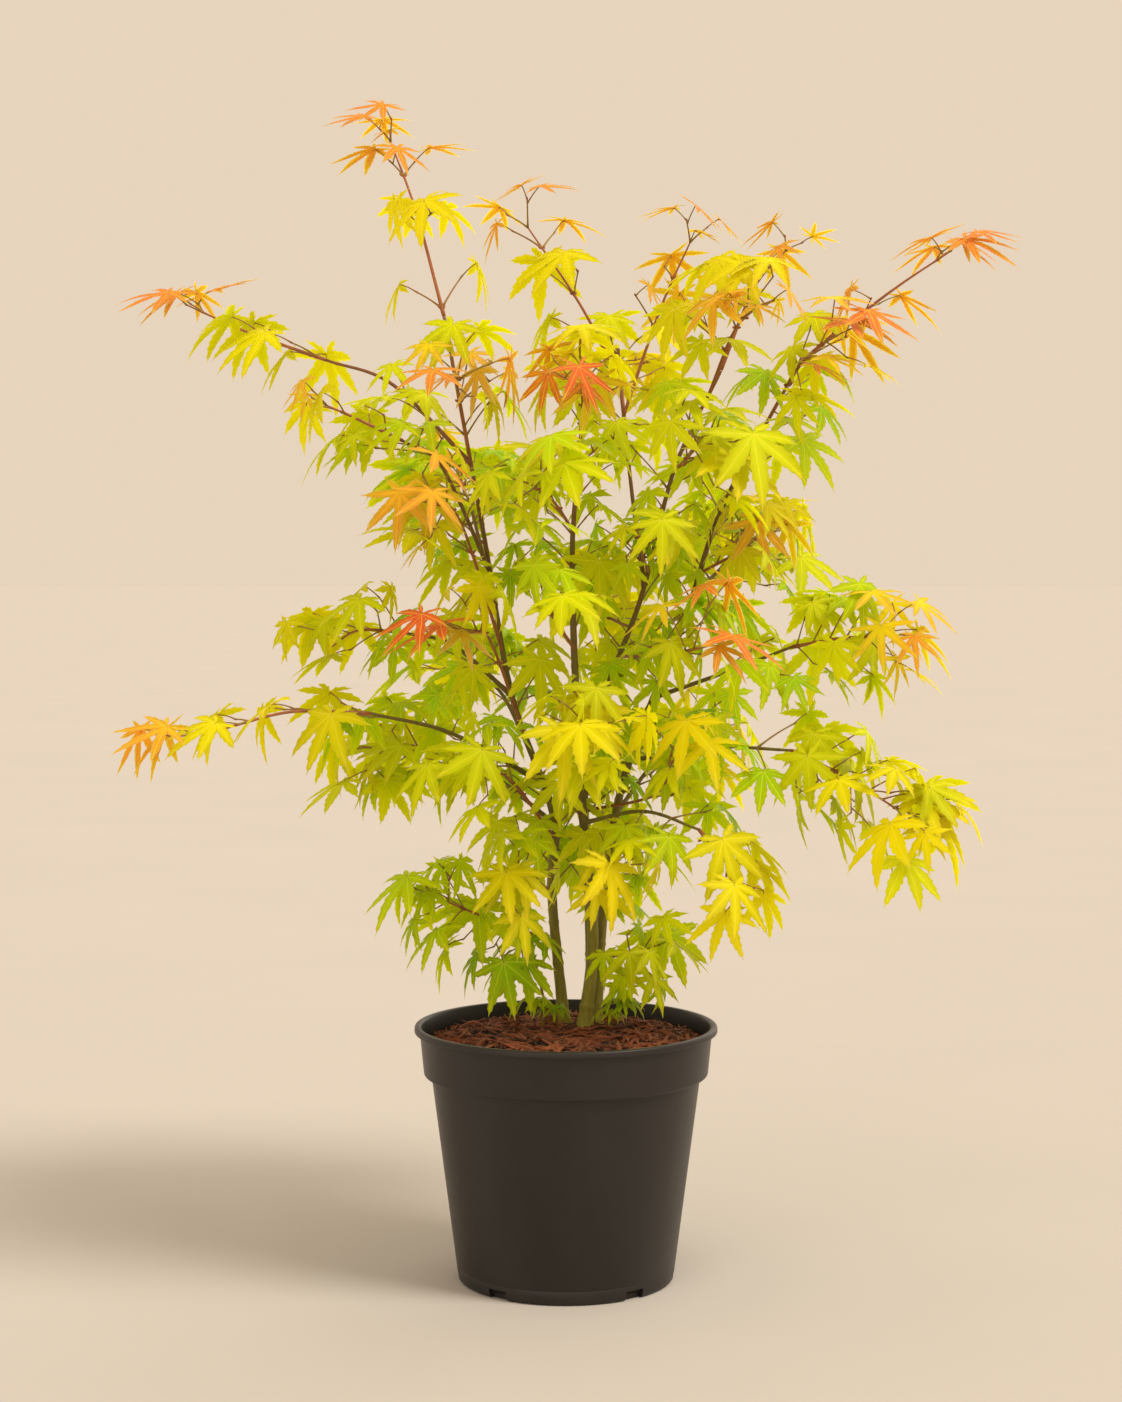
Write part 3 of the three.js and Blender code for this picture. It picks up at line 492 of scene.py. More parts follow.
# A colour for each tint is added to those settings
for tint_name, tint_row in TINTS.items():
    FoliageSettings.__annotations__[tint_name] = colour_property(
        tint_name.replace("_", " ").capitalize(), tint_row.use, linear(*tint_row.screen))


class StageSettings(bpy.types.PropertyGroup):
    """Floor, lights and camera"""

    floor: colour_property("Floor", "Colour of the floor", linear(196, 190, 182))
    sky: colour_property("Surroundings", "Colour of the light all round", linear(237, 217, 193))
    sky_strength: FloatProperty(
        name="Surroundings strength", description="Strength of the light all round", default=0.95,
        min=0, max=5)
    key: FloatProperty(
        name="Key light", description="Strength of the soft main light", default=2.3, min=0, max=20)
    key_softness: FloatProperty(
        name="Softness", description="Breadth of the main light in the sky", default=math.radians(22),
        min=0, max=math.pi, subtype="ANGLE")
    fill: FloatProperty(
        name="Fill light", description="Strength of the soft light from the front", default=0.6,
        min=0, max=20)
    back: FloatProperty(
        name="Back light", description="Strength of the soft light from behind", default=0.5,
        min=0, max=20)


class MapleSettings(bpy.types.PropertyGroup):
    """All that a user would change"""

    pot: PointerProperty(type=PotSettings)
    mulch: PointerProperty(type=MulchSettings)
    bark: PointerProperty(type=BarkSettings)
    foliage: PointerProperty(type=FoliageSettings)
    stage: PointerProperty(type=StageSettings)


# Small helpers for numbers and shapes


class Stream:
    """A steady stream of numbers between 0 and 1 for one seed."""

    def __init__(self, seed):
        self.state = seed & 0xFFFFFFFF

    def __call__(self):
        self.state = (self.state * 1664525 + 1013904223) & 0xFFFFFFFF
        return self.state / 4294967296

    def draw(self, span):
        least, reach = span
        return least + reach * self()


def unit(vector):
    return vector / np.linalg.norm(vector)


def turned(vector, axis, degrees):
    """A vector turned about a unit axis."""
    angle = math.radians(degrees)
    across = np.cross(axis, vector)
    along = axis * np.dot(axis, vector) * (1 - math.cos(angle))
    return vector * math.cos(angle) + across * math.sin(angle) + along


class Curve:
    """A smooth curve through a few points."""

    SHORT = 0.0001
    LENGTH_STEPS = 200

    def __init__(self, points):
        inner = np.array(points, float)
        first = 2 * inner[0] - inner[1]
        last = 2 * inner[-1] - inner[-2]
        self.spans = len(inner) - 1
        self.knots = np.vstack([first, inner, last])

    def at(self, share):
        place = np.clip(np.asarray(share, float), 0, 1) * self.spans
        cell = np.minimum(place.astype(int), self.spans - 1)
        step = (place - cell)[..., None]
        before, start, end, after = (self.knots[cell + k] for k in range(4))
        leave = (end - before) / 2
        arrive = (after - start) / 2
        square = 3 * (end - start) - 2 * leave - arrive
        cube = 2 * (start - end) + leave + arrive
        return start + leave * step + square * step**2 + cube * step**3

    def direction(self, share):
        return unit(self.at(min(share + self.SHORT, 1)) - self.at(max(share - self.SHORT, 0)))

    def length(self):
        stations = self.at(np.linspace(0, 1, self.LENGTH_STEPS + 1))
        return np.linalg.norm(np.diff(stations, axis=0), axis=1).sum()


def beads_of(curve):
    """Shares of a curve about a bead's step apart, and the points there."""
    shares = np.linspace(0, 1, math.ceil(curve.length() / BEAD_STEP) + 1)
    return shares, curve.at(shares)


def nearest(points, others):
    """The distance from each point to the nearest of the others."""
    if not len(others):
        return np.full(len(points), np.inf)
    return np.linalg.norm(points[:, None, :] - others[None, :, :], axis=2).min(axis=1)


class Shape:
    """Vertices and triangles that are gathered into one mesh, with a finish for each triangle.

    A finish is the number of a material, or a row of them with one for each triangle.
    """

    def __init__(self):
        self.points = []
        self.faces = []
        self.finishes = []
        self.count = 0

    def add(self, points, faces, finish=0):
        self.points.append(np.asarray(points, float))
        self.faces.append(np.asarray(faces, int) + self.count)
        self.finishes.append(np.full(len(faces), finish))
        self.count += len(points)

    def piece(self, name, materials, uv=None, rim=None):
        """Makes the mesh object, in metres. rim marks the vertices on sharp edges."""
        points = np.vstack(self.points) * MM
        faces = np.vstack(self.faces)
        mesh = bpy.data.meshes.new(name)
        mesh.from_pydata(points.tolist(), [], faces.tolist())
        for material in materials:
            mesh.materials.append(material)
        mesh.polygons.foreach_set("material_index", np.concatenate(self.finishes).astype(np.int32))
        mesh.polygons.foreach_set("use_smooth", np.ones(len(faces), bool))
        if uv is not None:
            layer = mesh.uv_layers.new(name="blade")
            layer.data.foreach_set("uv", np.asarray(uv, np.float32).ravel())
        if rim is not None:
            ends = np.empty(2 * len(mesh.edges), np.int32)
            mesh.edges.foreach_get("vertices", ends)
            sharp = np.asarray(rim, bool)[ends.reshape(-1, 2)].all(axis=1)
            mesh.edges.foreach_set("use_edge_sharp", sharp)
        mesh.update()
        return placed(name, mesh)


def placed(name, data):
    """A new object in the scene, at the origin."""
    piece = bpy.data.objects.new(name, data)
    bpy.context.scene.collection.objects.link(piece)
    return piece


def tube(path, radii, sides):
    """A closed tube of rings round a path. A radius may differ from side to side."""
    path = np.asarray(path, float)
    count = len(path)
    radii = np.asarray(radii, float)
    if radii.ndim == 1:
        radii = np.repeat(radii[:, None], sides, axis=1)
    along = np.gradient(path, axis=0)
    along /= np.linalg.norm(along, axis=1)[:, None]
    reference = np.array([1.0, 0, 0]) if abs(along[0][2]) > STEEP else UP
    across = np.empty_like(along)
    side = np.cross(reference, along[0])
    for i, way in enumerate(along):
        side = unit(side - way * np.dot(side, way))
        across[i] = side
    over = np.cross(along, across)
    angles = 2 * math.pi * np.arange(sides) / sides
    spokes = across[:, None] * np.cos(angles)[:, None] + over[:, None] * np.sin(angles)[:, None]
    rings = path[:, None] + spokes * radii[..., None]
    points = np.vstack([rings.reshape(-1, 3), path[0], path[-1]])
    ring, turn = np.meshgrid(np.arange(count - 1), np.arange(sides), indexing="ij")
    a = (ring * sides + turn).ravel()
    b = (ring * sides + (turn + 1) % sides).ravel()
    walls = np.vstack([np.column_stack([a, b, a + sides]), np.column_stack([b, b + sides, a + sides])])
    turn = np.arange(sides)
    after = (turn + 1) % sides
    start = np.full(sides, count * sides)
    last = (count - 1) * sides
    foot = np.column_stack([start, after, turn])
    tip = np.column_stack([start + 1, last + turn, last + after])
    return points, np.vstack([walls, foot, tip])


def lathe(profile, sides):
    """A closed body turned from a profile of radius and height that starts and ends on the axis."""
    angles = 2 * math.pi * np.arange(sides) / sides
    points = [(0, 0, profile[0][1])]
    for radius, height in profile[1:-1]:
        points.extend((radius * math.sin(a), -radius * math.cos(a), height) for a in angles)
    points.append((0, 0, profile[-1][1]))
    faces = []
    last = len(points) - 1
    rings = len(profile) - 2
    for k in range(sides):
        after = (k + 1) % sides
        faces.append((0, 1 + after, 1 + k))
        for ring in range(rings - 1):
            a = 1 + ring * sides + k
            b = 1 + ring * sides + after
            faces.extend([(a, b, a + sides), (b, b + sides, a + sides)])
        top = 1 + (rings - 1) * sides
        faces.append((last, top + k, top + after))
    return np.array(points, float), np.array(faces)


def rounded(profile, rounding):
    """A profile with its corners rounded. rounding gives the radius by the number of the point."""
    points = []
    for i, point in enumerate(profile):
        radius = rounding.get(i, 0)
        here = np.array(point, float)
        if not radius:
            points.append(tuple(here))
            continue
        back = unit(np.array(profile[i - 1], float) - here) * radius
        ahead = unit(np.array(profile[i + 1], float) - here) * radius
        for k in range(ROUNDING_STEPS + 1):
            t = k / ROUNDING_STEPS
            points.append(tuple(here + back * (1 - t) ** 2 + ahead * t**2))
    return points


# Node helpers


def feed(tree, node, inputs):
    """Sets each input of a node to a value, or links it to another node's output."""
    for key, value in inputs.items():
        if isinstance(value, bpy.types.NodeSocket):
            tree.links.new(value, node.inputs[key])
        else:
            node.inputs[key].default_value = value


def add_node(tree, kind, inputs=None, **settings):
    """A node with its settings and inputs."""
    node = tree.nodes.new(kind)
    for key, value in settings.items():
        setattr(node, key, value)
    feed(tree, node, inputs or {})
    return node


def mixed(tree, factor, first, second):
    """A colour mixed from two."""
    inputs = {0: factor, 6: first, 7: second}
    return add_node(tree, "ShaderNodeMix", inputs, data_type="RGBA").outputs[2]


def ranged(tree, value, low, high, to_low=0.0, to_high=1.0, smooth=False):
    """A value from one range brought into another."""
    settings = {"interpolation_type": "SMOOTHSTEP"} if smooth else {}
    inputs = {"Value": value, "From Min": low, "From Max": high, "To Min": to_low, "To Max": to_high}
    return add_node(tree, "ShaderNodeMapRange", inputs, **settings).outputs["Result"]


def math_node(tree, operation, first, second):
    return add_node(tree, "ShaderNodeMath", {0: first, 1: second}, operation=operation).outputs[0]


FLOAT = "NodeSocketFloat"


def new_group(name, inputs, outputs):
    """A shader group of numbers: its tree, its inputs as the tree's nodes see them, and its end."""
    tree = bpy.data.node_groups.new(name, "ShaderNodeTree")
    for socket, default in inputs.items():
        made = tree.interface.new_socket(socket, in_out="INPUT", socket_type=FLOAT)
        made.default_value = default
    for socket in outputs:
        tree.interface.new_socket(socket, in_out="OUTPUT", socket_type=FLOAT)
    return tree, tree.nodes.new("NodeGroupInput").outputs, tree.nodes.new("NodeGroupOutput")


@functools.cache
def mottle_group():
    """Uneven tone over a surface, stretched along the upright."""
    inputs = {"Scale": 100.0, "Upright Stretch": 1.0, "Low": 0.0, "High": 1.0}
    tree, entry, leaving = new_group("surface mottle", inputs, ["Value"])
    place = add_node(tree, "ShaderNodeTexCoord")
    squeeze = math_node(tree, "DIVIDE", 1.0, entry["Upright Stretch"])
    scale = add_node(tree, "ShaderNodeCombineXYZ", {"X": 1.0, "Y": 1.0, "Z": squeeze})
    mapping = add_node(
        tree, "ShaderNodeMapping", {"Vector": place.outputs["Object"], "Scale": scale.outputs[0]})
    cloud = add_node(
        tree, "ShaderNodeTexNoise",
        {"Vector": mapping.outputs[0], "Scale": entry["Scale"], "Detail": 5.0, "Roughness": 0.6})
    value = ranged(tree, cloud.outputs["Fac"], 0.3, 0.7, entry["Low"], entry["High"])
    feed(tree, leaving, {"Value": value})
    return tree


@functools.cache
def vein_group():
    """The veins of a leaf: a rib along each lobe and finer ones that slant off it."""
    inputs = {"Rib Width": 0.017, "Side Vein Step": 0.085, "Slant": 1.1}
    outputs = ["Ribs", "Side Veins", "Towards Tip", "From Rib"]
    tree, entry, leaving = new_group("leaf veins", inputs, outputs)
    plan = add_node(tree, "ShaderNodeUVMap", uv_map="blade")
    parts = add_node(tree, "ShaderNodeSeparateXYZ", {"Vector": plan.outputs[0]})
    aside = parts.outputs["X"]
    along = parts.outputs["Y"]
    ribs = ranged(tree, aside, entry["Rib Width"], 0.0, smooth=True)
    slanted = math_node(tree, "SUBTRACT", along, math_node(tree, "MULTIPLY", aside, entry["Slant"]))
    steps = math_node(tree, "DIVIDE", slanted, entry["Side Vein Step"])
    wave = math_node(tree, "PINGPONG", steps, 0.5)
    side_veins = ranged(tree, wave, 0.09, 0.0, smooth=True)
    ends = {"Ribs": ribs, "Side Veins": side_veins, "Towards Tip": along, "From Rib": aside}
    feed(tree, leaving, ends)
    return tree


def mottled(tree, scale, stretch=1.0, low=0.0, high=1.0):
    """A value that wanders between low and high over the surface."""
    inputs = {"Scale": scale, "Upright Stretch": stretch, "Low": low, "High": high}
    return add_node(tree, "ShaderNodeGroup", inputs, node_tree=mottle_group()).outputs["Value"]


def new_material(name):
    """An empty material, its tree and its one shader."""
    material = bpy.data.materials.new(name)
    material.use_nodes = True
    return material, material.node_tree, material.node_tree.nodes["Principled BSDF"]


def opaque(colour):
    return (*colour, 1.0)


def toned(colour, share):
    """A colour made darker or lighter."""
    return opaque(tuple(min(1.0, c * share) for c in colour))


def paler(colour, share):
    """A colour brought towards a pale yellow."""
    return tuple(c + (p - c) * share for c, p in zip(colour, linear(248, 230, 60)))


def bumped(tree, shader, height, distance, strength=1.0):
    inputs = {"Height": height, "Distance": distance, "Strength": strength}
    feed(tree, shader, {"Normal": add_node(tree, "ShaderNodeBump", inputs).outputs[0]})


# Finishes


def plastic_material(settings):
    """Satin black moulded plastic with faint clouding and fine grain."""
    material, tree, shader = new_material("moulded plastic")
    broad = mottled(tree, 16.0, 3.0)
    dusty = opaque(tuple(c * 1.35 + 0.004 for c in settings.colour))
    rough = ranged(tree, broad, 0.0, 1.0, settings.roughness - 0.06, settings.roughness + 0.08)
    feed(tree, shader, {
        "Base Color": mixed(tree, broad, opaque(settings.colour), dusty),
        "Roughness": rough,
        "Specular IOR Level": 0.36,
    })
    bumped(tree, shader, mottled(tree, 1400.0), 0.00006, 0.5)
    return material


def compost_material(settings):
    """Dark crumbly compost between the bark chips."""
    material, tree, shader = new_material("compost")
    tone = mixed(tree, mottled(tree, 260.0), toned(settings.dark, 0.6), opaque(settings.dark))
    feed(tree, shader, {"Base Color": tone, "Roughness": 0.95})
    bumped(tree, shader, mottled(tree, 900.0), 0.0008)
    return material


def chip_material(settings):
    """Shredded bark, from dark and wet to dry and reddish, with grain along each chip."""
    material, tree, shader = new_material("bark chips")
    tone = add_node(tree, "ShaderNodeAttribute", attribute_name="chip_tone").outputs["Fac"]
    grain = mottled(tree, 700.0)
    rare = math_node(tree, "POWER", tone, 2.3)
    colour = mixed(tree, rare, opaque(settings.dark), opaque(settings.light))
    streaked = mixed(tree, ranged(tree, grain, 0.0, 1.0, 0.0, 0.4), colour, opaque(settings.dark))
    feed(tree, shader, {"Base Color": streaked, "Roughness": 0.8})
    bumped(tree, shader, grain, 0.0004)
    return material


def bark_material(settings):
    """Smooth young bark: olive green at the foot, brown above and reddish on young wood."""
    material, tree, shader = new_material("young bark")
    place = add_node(tree, "ShaderNodeTexCoord").outputs["Object"]
    height = add_node(tree, "ShaderNodeSeparateXYZ", {"Vector": place}).outputs["Z"]
    streak = mottled(tree, 420.0, 9.0)
    wander = math_node(tree, "ADD", height, mottled(tree, 60.0, 2.0, -0.05, 0.05))
    foot, middle, tip = (opaque(colour) for colour in (settings.foot, settings.middle, settings.tip))
    low = mixed(tree, ranged(tree, wander, 0.17, 0.33, smooth=True), foot, middle)
    whole = mixed(tree, ranged(tree, wander, 0.38, 0.58, smooth=True), low, tip)
    streaked = mixed(tree, ranged(tree, streak, 0.25, 1.0, 0.0, 0.5), whole, toned(settings.middle, 0.55))
    spots = add_node(tree, "ShaderNodeTexVoronoi", {"Vector": place, "Scale": 260.0, "Randomness": 1.0})
    pores = ranged(tree, spots.outputs["Distance"], 0.16, 0.06, smooth=True)
    dotted = mixed(tree, math_node(tree, "MULTIPLY", pores, 0.35), streaked, opaque(linear(176, 150, 92)))
    feed(tree, shader, {"Base Color": dotted, "Roughness": 0.62})
    bumped(tree, shader, math_node(tree, "ADD", streak, pores), 0.0003)
    return material


def cut_material():
    """The weathered end grain of an old cut."""
    material, tree, shader = new_material("old cut")
    wood = mixed(tree, mottled(tree, 900.0), opaque(linear(120, 92, 60)), opaque(linear(168, 138, 96)))
    feed(tree, shader, {"Base Color": wood, "Roughness": 0.85})
    return material


def twig_material(settings):
    """Young reddish-brown twigs."""
    material, tree, shader = new_material("young twig")
    tone = mottled(tree, 90.0)
    wood = mixed(tree, tone, opaque(settings.tip), toned(settings.tip, 1.7))
    feed(tree, shader, {"Base Color": wood, "Roughness": 0.5})
    bumped(tree, shader, tone, 0.0001)
    return material


def stalk_material(settings):
    """Thin leaf stalks, between reddish brown and olive."""
    material, tree, shader = new_material("leaf stalk")
    tone = mixed(tree, mottled(tree, 45.0), opaque(settings.stalk), opaque(linear(150, 138, 40)))
    feed(tree, shader, {"Base Color": tone, "Roughness": 0.45})
    return material


def leaf_material(name, settings):
    """A thin leaf in one tint, with paler veins, turning tips and a slightly uneven tone."""
    material, tree, shader = new_material(f"leaf {name.replace('_', ' ')}")
    colour = getattr(settings, name)
    tint = TINTS[name]
    veins = add_node(tree, "ShaderNodeGroup", node_tree=vein_group()).outputs
    uneven = ranged(tree, mottled(tree, 38.0), 0.0, 1.0, 0.0, 0.7)
    blade = mixed(tree, uneven, opaque(colour), toned(colour, 0.86))
    if tint.heart:
        outward = ranged(tree, veins["Towards Tip"], 0.1, 0.6, 0.15, 0.8, smooth=True)
        sideways = ranged(tree, veins["From Rib"], 0.0, 0.07, 0.0, 0.4)
        own = math_node(tree, "ADD", outward, sideways)
        blade = mixed(tree, own, opaque(getattr(settings, tint.heart)), blade)
    tip_share = ranged(tree, veins["Towards Tip"], 0.55, 1.0, 0.0, tint.turning, smooth=True)
    blade = mixed(tree, tip_share, blade, opaque(getattr(settings, tint.tips)))
    for part, most in (("Ribs", 0.7), ("Side Veins", 0.1)):
        share = ranged(tree, veins[part], 0.0, 1.0, 0.0, most)
        blade = mixed(tree, share, blade, opaque(paler(colour, 0.55)))
    feed(tree, shader, {
        "Base Color": blade,
        "Roughness": 0.55,
        "Specular IOR Level": 0.08,
        "Subsurface Weight": 0.75,
        "Subsurface Radius": (0.9, 1.0, 0.1),
        "Subsurface Scale": 0.003,
    })
    bumped(tree, shader, veins["Ribs"], 0.00025, 0.4)
    return material


def floor_material(settings):
    """A pale floor with hardly any clouding."""
    material, tree, shader = new_material("pale floor")
    tone = mixed(tree, mottled(tree, 3.0, high=0.4), opaque(settings.floor), toned(settings.floor, 0.93))
    feed(tree, shader, {"Base Color": tone, "Roughness": 0.9, "Specular IOR Level": 0.0})
    return material


# Growth: limbs first, then masses by the source's rule, then what is finer than the source


def stem_radius(foot, tip, curve, share):
    """A stem's radius, with its flare at the ground."""
    height = curve.at(share)[..., 2] - GROUND
    return (foot + (tip - foot) * share) * (1 + FLARE * np.exp(-height / FLARE_HEIGHT))


@functools.cache
def grow_limbs():
    """All the limbs: each one's curve, and its radius as a function of the share along it."""
    limbs = {}
    for name, (through, foot, tip) in STEMS.items():
        curve = Curve(through)
        limbs[name] = (curve, functools.partial(stem_radius, foot, tip, curve))
    for name, (parent, along, through, foot, tip) in BOUGHS.items():
        start = limbs[parent][0].at(along)
        limbs[name] = (Curve([start, *through]), lambda share, a=foot, b=tip: a + (b - a) * share)
    return limbs


def leaf_at(root, heading, length, droop, roll):
    """A leaf's frame: its stalk leaves the root along the heading, and the blade hangs from its end."""
    level = unit(np.array([heading[0], heading[1], 0]))
    tilt = math.radians(droop)
    ahead = level * math.cos(tilt) - UP * math.sin(tilt)
    face = turned(level * math.sin(tilt) + UP * math.cos(tilt), ahead, roll)
    foot = root + heading * STALK_SHARE * length
    return {
        "root": root,
        "heading": heading,
        "foot": foot,
        "ahead": ahead,
        "aside": np.cross(face, ahead),
        "face": face,
        "length": length,
        "stalk_middle": root + (foot - root) * SHOOT_MIDDLE,
    }


PROBES = np.array(
    [(0, 0), *((angle, length * share) for angle, length in LOBES for share in PROBE_SHARES), *NOTCHES],
    float)


def probes_of(leaf):
    """The points that a leaf is tested by: its foot, along each lobe and in each notch."""
    angles = np.radians(PROBES[:, :1])
    reach = PROBES[:, 1:] * leaf["length"]
    flat = np.cos(angles) * leaf["ahead"] + np.sin(angles) * leaf["aside"]
    return leaf["foot"] + reach * (flat - LEAF_FALL * leaf["face"])


class Garden:
    """The growing plant: its limbs, the space of each mass, and the leaves that are there already."""

    def __init__(self):
        self.limbs = grow_limbs()
        points = []
        radii = []
        for curve, radius_at in self.limbs.values():
            shares, beads = beads_of(curve)
            points.append(beads)
            radii.append(radius_at(shares))
        self.limb_points = np.vstack(points)
        self.limb_radii = np.concatenate(radii)
        self.leaders = {}
        for name, row in FOLIAGE.items():
            curve = self.limbs[row.limb][0]
            start = curve.at(row.along)
            if row.along == 1:
                start = start + curve.direction(1) * GAP
            self.leaders[name] = Curve([start, *row.through])
        self.spaces = {name: beads_of(leader)[1] for name, leader in self.leaders.items()}
        self.taken = {name: [] for name in FOLIAGE}
        self.sprays = []

    def clear(self, points, room):
        """Whether points are above the pot's rim and keep their room to every limb."""
        if points[:, 2].min() <= LOWEST_LEAF:
            return False
        gaps = np.linalg.norm(points[:, None] - self.limb_points[None], axis=2) - self.limb_radii
        return gaps.min() > room

    def inside(self, name, points):
        """Whether points are nearer to a mass's own leader than to any other."""
        own = nearest(points, self.spaces[name]) + SPACE_ROOM
        return all(
            (nearest(points, beads) > own).all() for other, beads in self.spaces.items() if other != name)

    def has_room(self, name, points):
        return self.clear(points, SHOOT_ROOM) and self.inside(name, points)

    def keeps_from_leaves(self, name, probes, room):
        homes = [name] if name else list(self.taken)
        others = [block for home in homes for block in self.taken[home]]
        return not others or nearest(probes, np.vstack(others)).min() > room

    def add_leaf(self, spray, heading, length, droop, roll, rooms):
        """A leaf on its stalk. One that doesn't fit is tried again smaller and turned, then left out."""
        name = spray["mass"]
        limb_room, leaf_room, twig_room = rooms
        for swing, share, sag in TRIES:
            leaf = leaf_at(spray["tip"], turned(heading, UP, swing), length * share, droop + sag, roll)
            probes = probes_of(leaf)
            whole = np.vstack([probes, leaf["stalk_middle"]])
            fits = (
                self.clear(whole, limb_room)
                and (not name or self.inside(name, whole))
                and self.keeps_from_leaves(name, probes, leaf_room)
                and (not name or nearest(probes, self.spaces[name]).min() > twig_room))
            if fits:
                self.taken[spray["home"]].append(probes)
                spray["leaves"].append(leaf)
                return

    def add_leaves(self, spray, drawn, rooms, fits=True):
        """Adds each drawn leaf if the spray fits, and keeps a spray that has any."""
        for values in drawn:
            if fits:
                self.add_leaf(spray, *values, rooms)
        if spray["leaves"]:
            self.sprays.append(spray)

    def grow_mass(self, name, index):
        """Grows one mass as the source does: pairs of shoots at its leader's nodes, two leaves on each."""
        row = FOLIAGE[name]
        leader = self.leaders[name]
        stream = Stream(SEED + SEED_STEP * (index + 1))
        for node, share in enumerate((*row.nodes, 1)):
            seat = leader.at(share)
            along = leader.direction(share)
            level = node_level(along, node)
            last = share == 1
            full = row.leaf * (LAST_LEAF if last else 1)
            rise = row.rise if share > RISING_SHARE else 0
            for hand in (1, -1):
                reach = row.shoot * stream.draw(SHOOT_REACH) * (1 - SHOOT_SHORTENING * share)
                lift = stream.draw(SHOOT_LIFT)
                forward = stream.draw(SHOOT_FORWARD) + (LAST_SHOOT_FORWARD if last else 0)
                way = unit(level * hand + along * forward + UP * lift)
                spray = new_spray(name, "leaf", share, seat, seat + way * reach)
                ends = np.array([seat + way * reach * SHOOT_MIDDLE, spray["tip"]])
                pair = drawn_pair(stream, way, unit(np.cross(way, UP)), full, LEAF_SIZE, rise)
                self.add_leaves(spray, pair, SOURCE_ROOMS, self.has_room(name, ends))
            length = row.leaf * stream.draw(BUD_SIZE)
            droop = stream.draw(BUD_DROOP) - BUD_RISE * row.rise
            roll = stream.draw(BUD_ROLL)
            if last:
                inner = leader.at(row.nodes[-1])
                bud = new_spray(name, "bud", share, inner + (seat - inner) * BUD_SEAT, seat)
                self.add_leaves(bud, [(along, length, droop, roll)], SOURCE_ROOMS)

    def grow_finer(self, name, index):
        """Finer shoots between a leader's nodes, with smaller leaves, and a young pair on each shoot."""
        row = FOLIAGE[name]
        leader = self.leaders[name]
        stream = Stream(FINE_SEED + SEED_STEP * (index + 1))
        nodes = (0, *row.nodes, 1)
        middles = ((a + b) / 2 for a, b in zip(nodes, nodes[1:]))
        between = [middle for middle in middles if middle > FINE_NODES_FROM]
        for node, share in enumerate([*between, *row.nodes]):
            seat = leader.at(share)
            along = leader.direction(share)
            level = turned(node_level(along, node), along, stream.draw(FINE_TURN))
            for hand in (1, -1):
                reach = row.shoot * stream.draw(FINE_SHOOT)
                way = unit(level * hand + along * stream.draw(SHOOT_FORWARD))
                spray = new_spray(name, "fine", share, seat, seat + way * reach)
                fork = unit(np.cross(way, UP) + NEVER_ZERO)
                pair = drawn_pair(stream, way, fork, row.leaf, FINE_LEAF, flatter_at(seat))
                self.add_leaves(spray, pair, FINE_ROOMS, self.has_room(name, spray["tip"][None]))
        for spray in [s for s in self.sprays if s["mass"] == name and s["kind"] == "leaf"]:
            way = unit(spray["tip"] - spray["root"])
            young = new_spray(name, "young", spray["share"], spray["tip"], spray["tip"] + way * YOUNG_REACH)
            pair = drawn_pair(
                stream, way, unit(np.cross(way, UP)), row.leaf, YOUNG_LEAF, YOUNG_RISE,
                BUD_DROOP, BUD_ROLL, YOUNG_FORK)
            self.add_leaves(young, pair, FINE_ROOMS)

    def grow_inner(self, share_grown):
        """Short sprays on the limbs themselves, which fill the crown's inside with greener leaves."""
        stream = Stream(INNER_SEED)
        low, high = (np.array(corner) / MM for corner in FRAME_BOX)
        for curve, radius_at in self.limbs.values():
            count = max(2, round(curve.length() / INNER_STEP))
            for node in range(1, count):
                share = node / count
                seat = curve.at(share)
                along = curve.direction(share)
                level = turned(node_level(along, node), along, stream.draw(INNER_TURN))
                for hand in (1, -1):
                    reach = stream.draw(INNER_REACH)
                    way = unit(level * hand + along * stream.draw(SHOOT_FORWARD) + UP * INNER_LIFT)
                    root = seat + way * radius_at(share) * 0.5
                    tip = seat + way * reach
                    fork = unit(np.cross(way, UP) + NEVER_ZERO)
                    fits = stream() < share_grown and INNER_LOWEST < seat[2] < INNER_HIGHEST
                    kept = []
                    for values in drawn_pair(stream, way, fork, 1, INNER_LEAF, flatter_at(seat)):
                        end = tip + values[0] * values[1] * (1 + STALK_SHARE)
                        if (end > low + INNER_MARGIN).all() and (end < high - INNER_MARGIN).all():
                            kept.append(values)
                    tint = INNER_TINTS[int(stream() * len(INNER_TINTS))]
                    spray = new_spray(None, "inner", share, root, tip, self.home_of(tip), tint)
                    self.add_leaves(spray, kept, INNER_ROOMS, fits)

    def grow_basal(self):
        """Short leafy shoots at the foot of the stems."""
        for root, tip, length, tint in BASAL_SHOOTS:
            root, tip = np.array(root, float), np.array(tip, float)
            spray = new_spray(None, "basal", 0, root, tip, BASAL_HOME, tint)
            for heading, share, droop, roll in BASAL_LEAVES:
                leaf = leaf_at(tip, unit(np.array(heading)), length * share, droop, roll)
                self.taken[BASAL_HOME].append(probes_of(leaf))
                spray["leaves"].append(leaf)
            self.sprays.append(spray)

    def home_of(self, point):
        """The mass whose leader is nearest to a point."""
        return min(self.spaces, key=lambda name: nearest(point[None], self.spaces[name])[0])


def new_spray(mass, kind, share, root, tip, home=None, tint=None):
    """A shoot without leaves yet. One that belongs to no mass has a home, whose region takes its leaves."""
    return {
        "mass": mass, "kind": kind, "share": share, "root": root, "tip": tip, "home": home or mass,
        "tint": tint, "leaves": []}


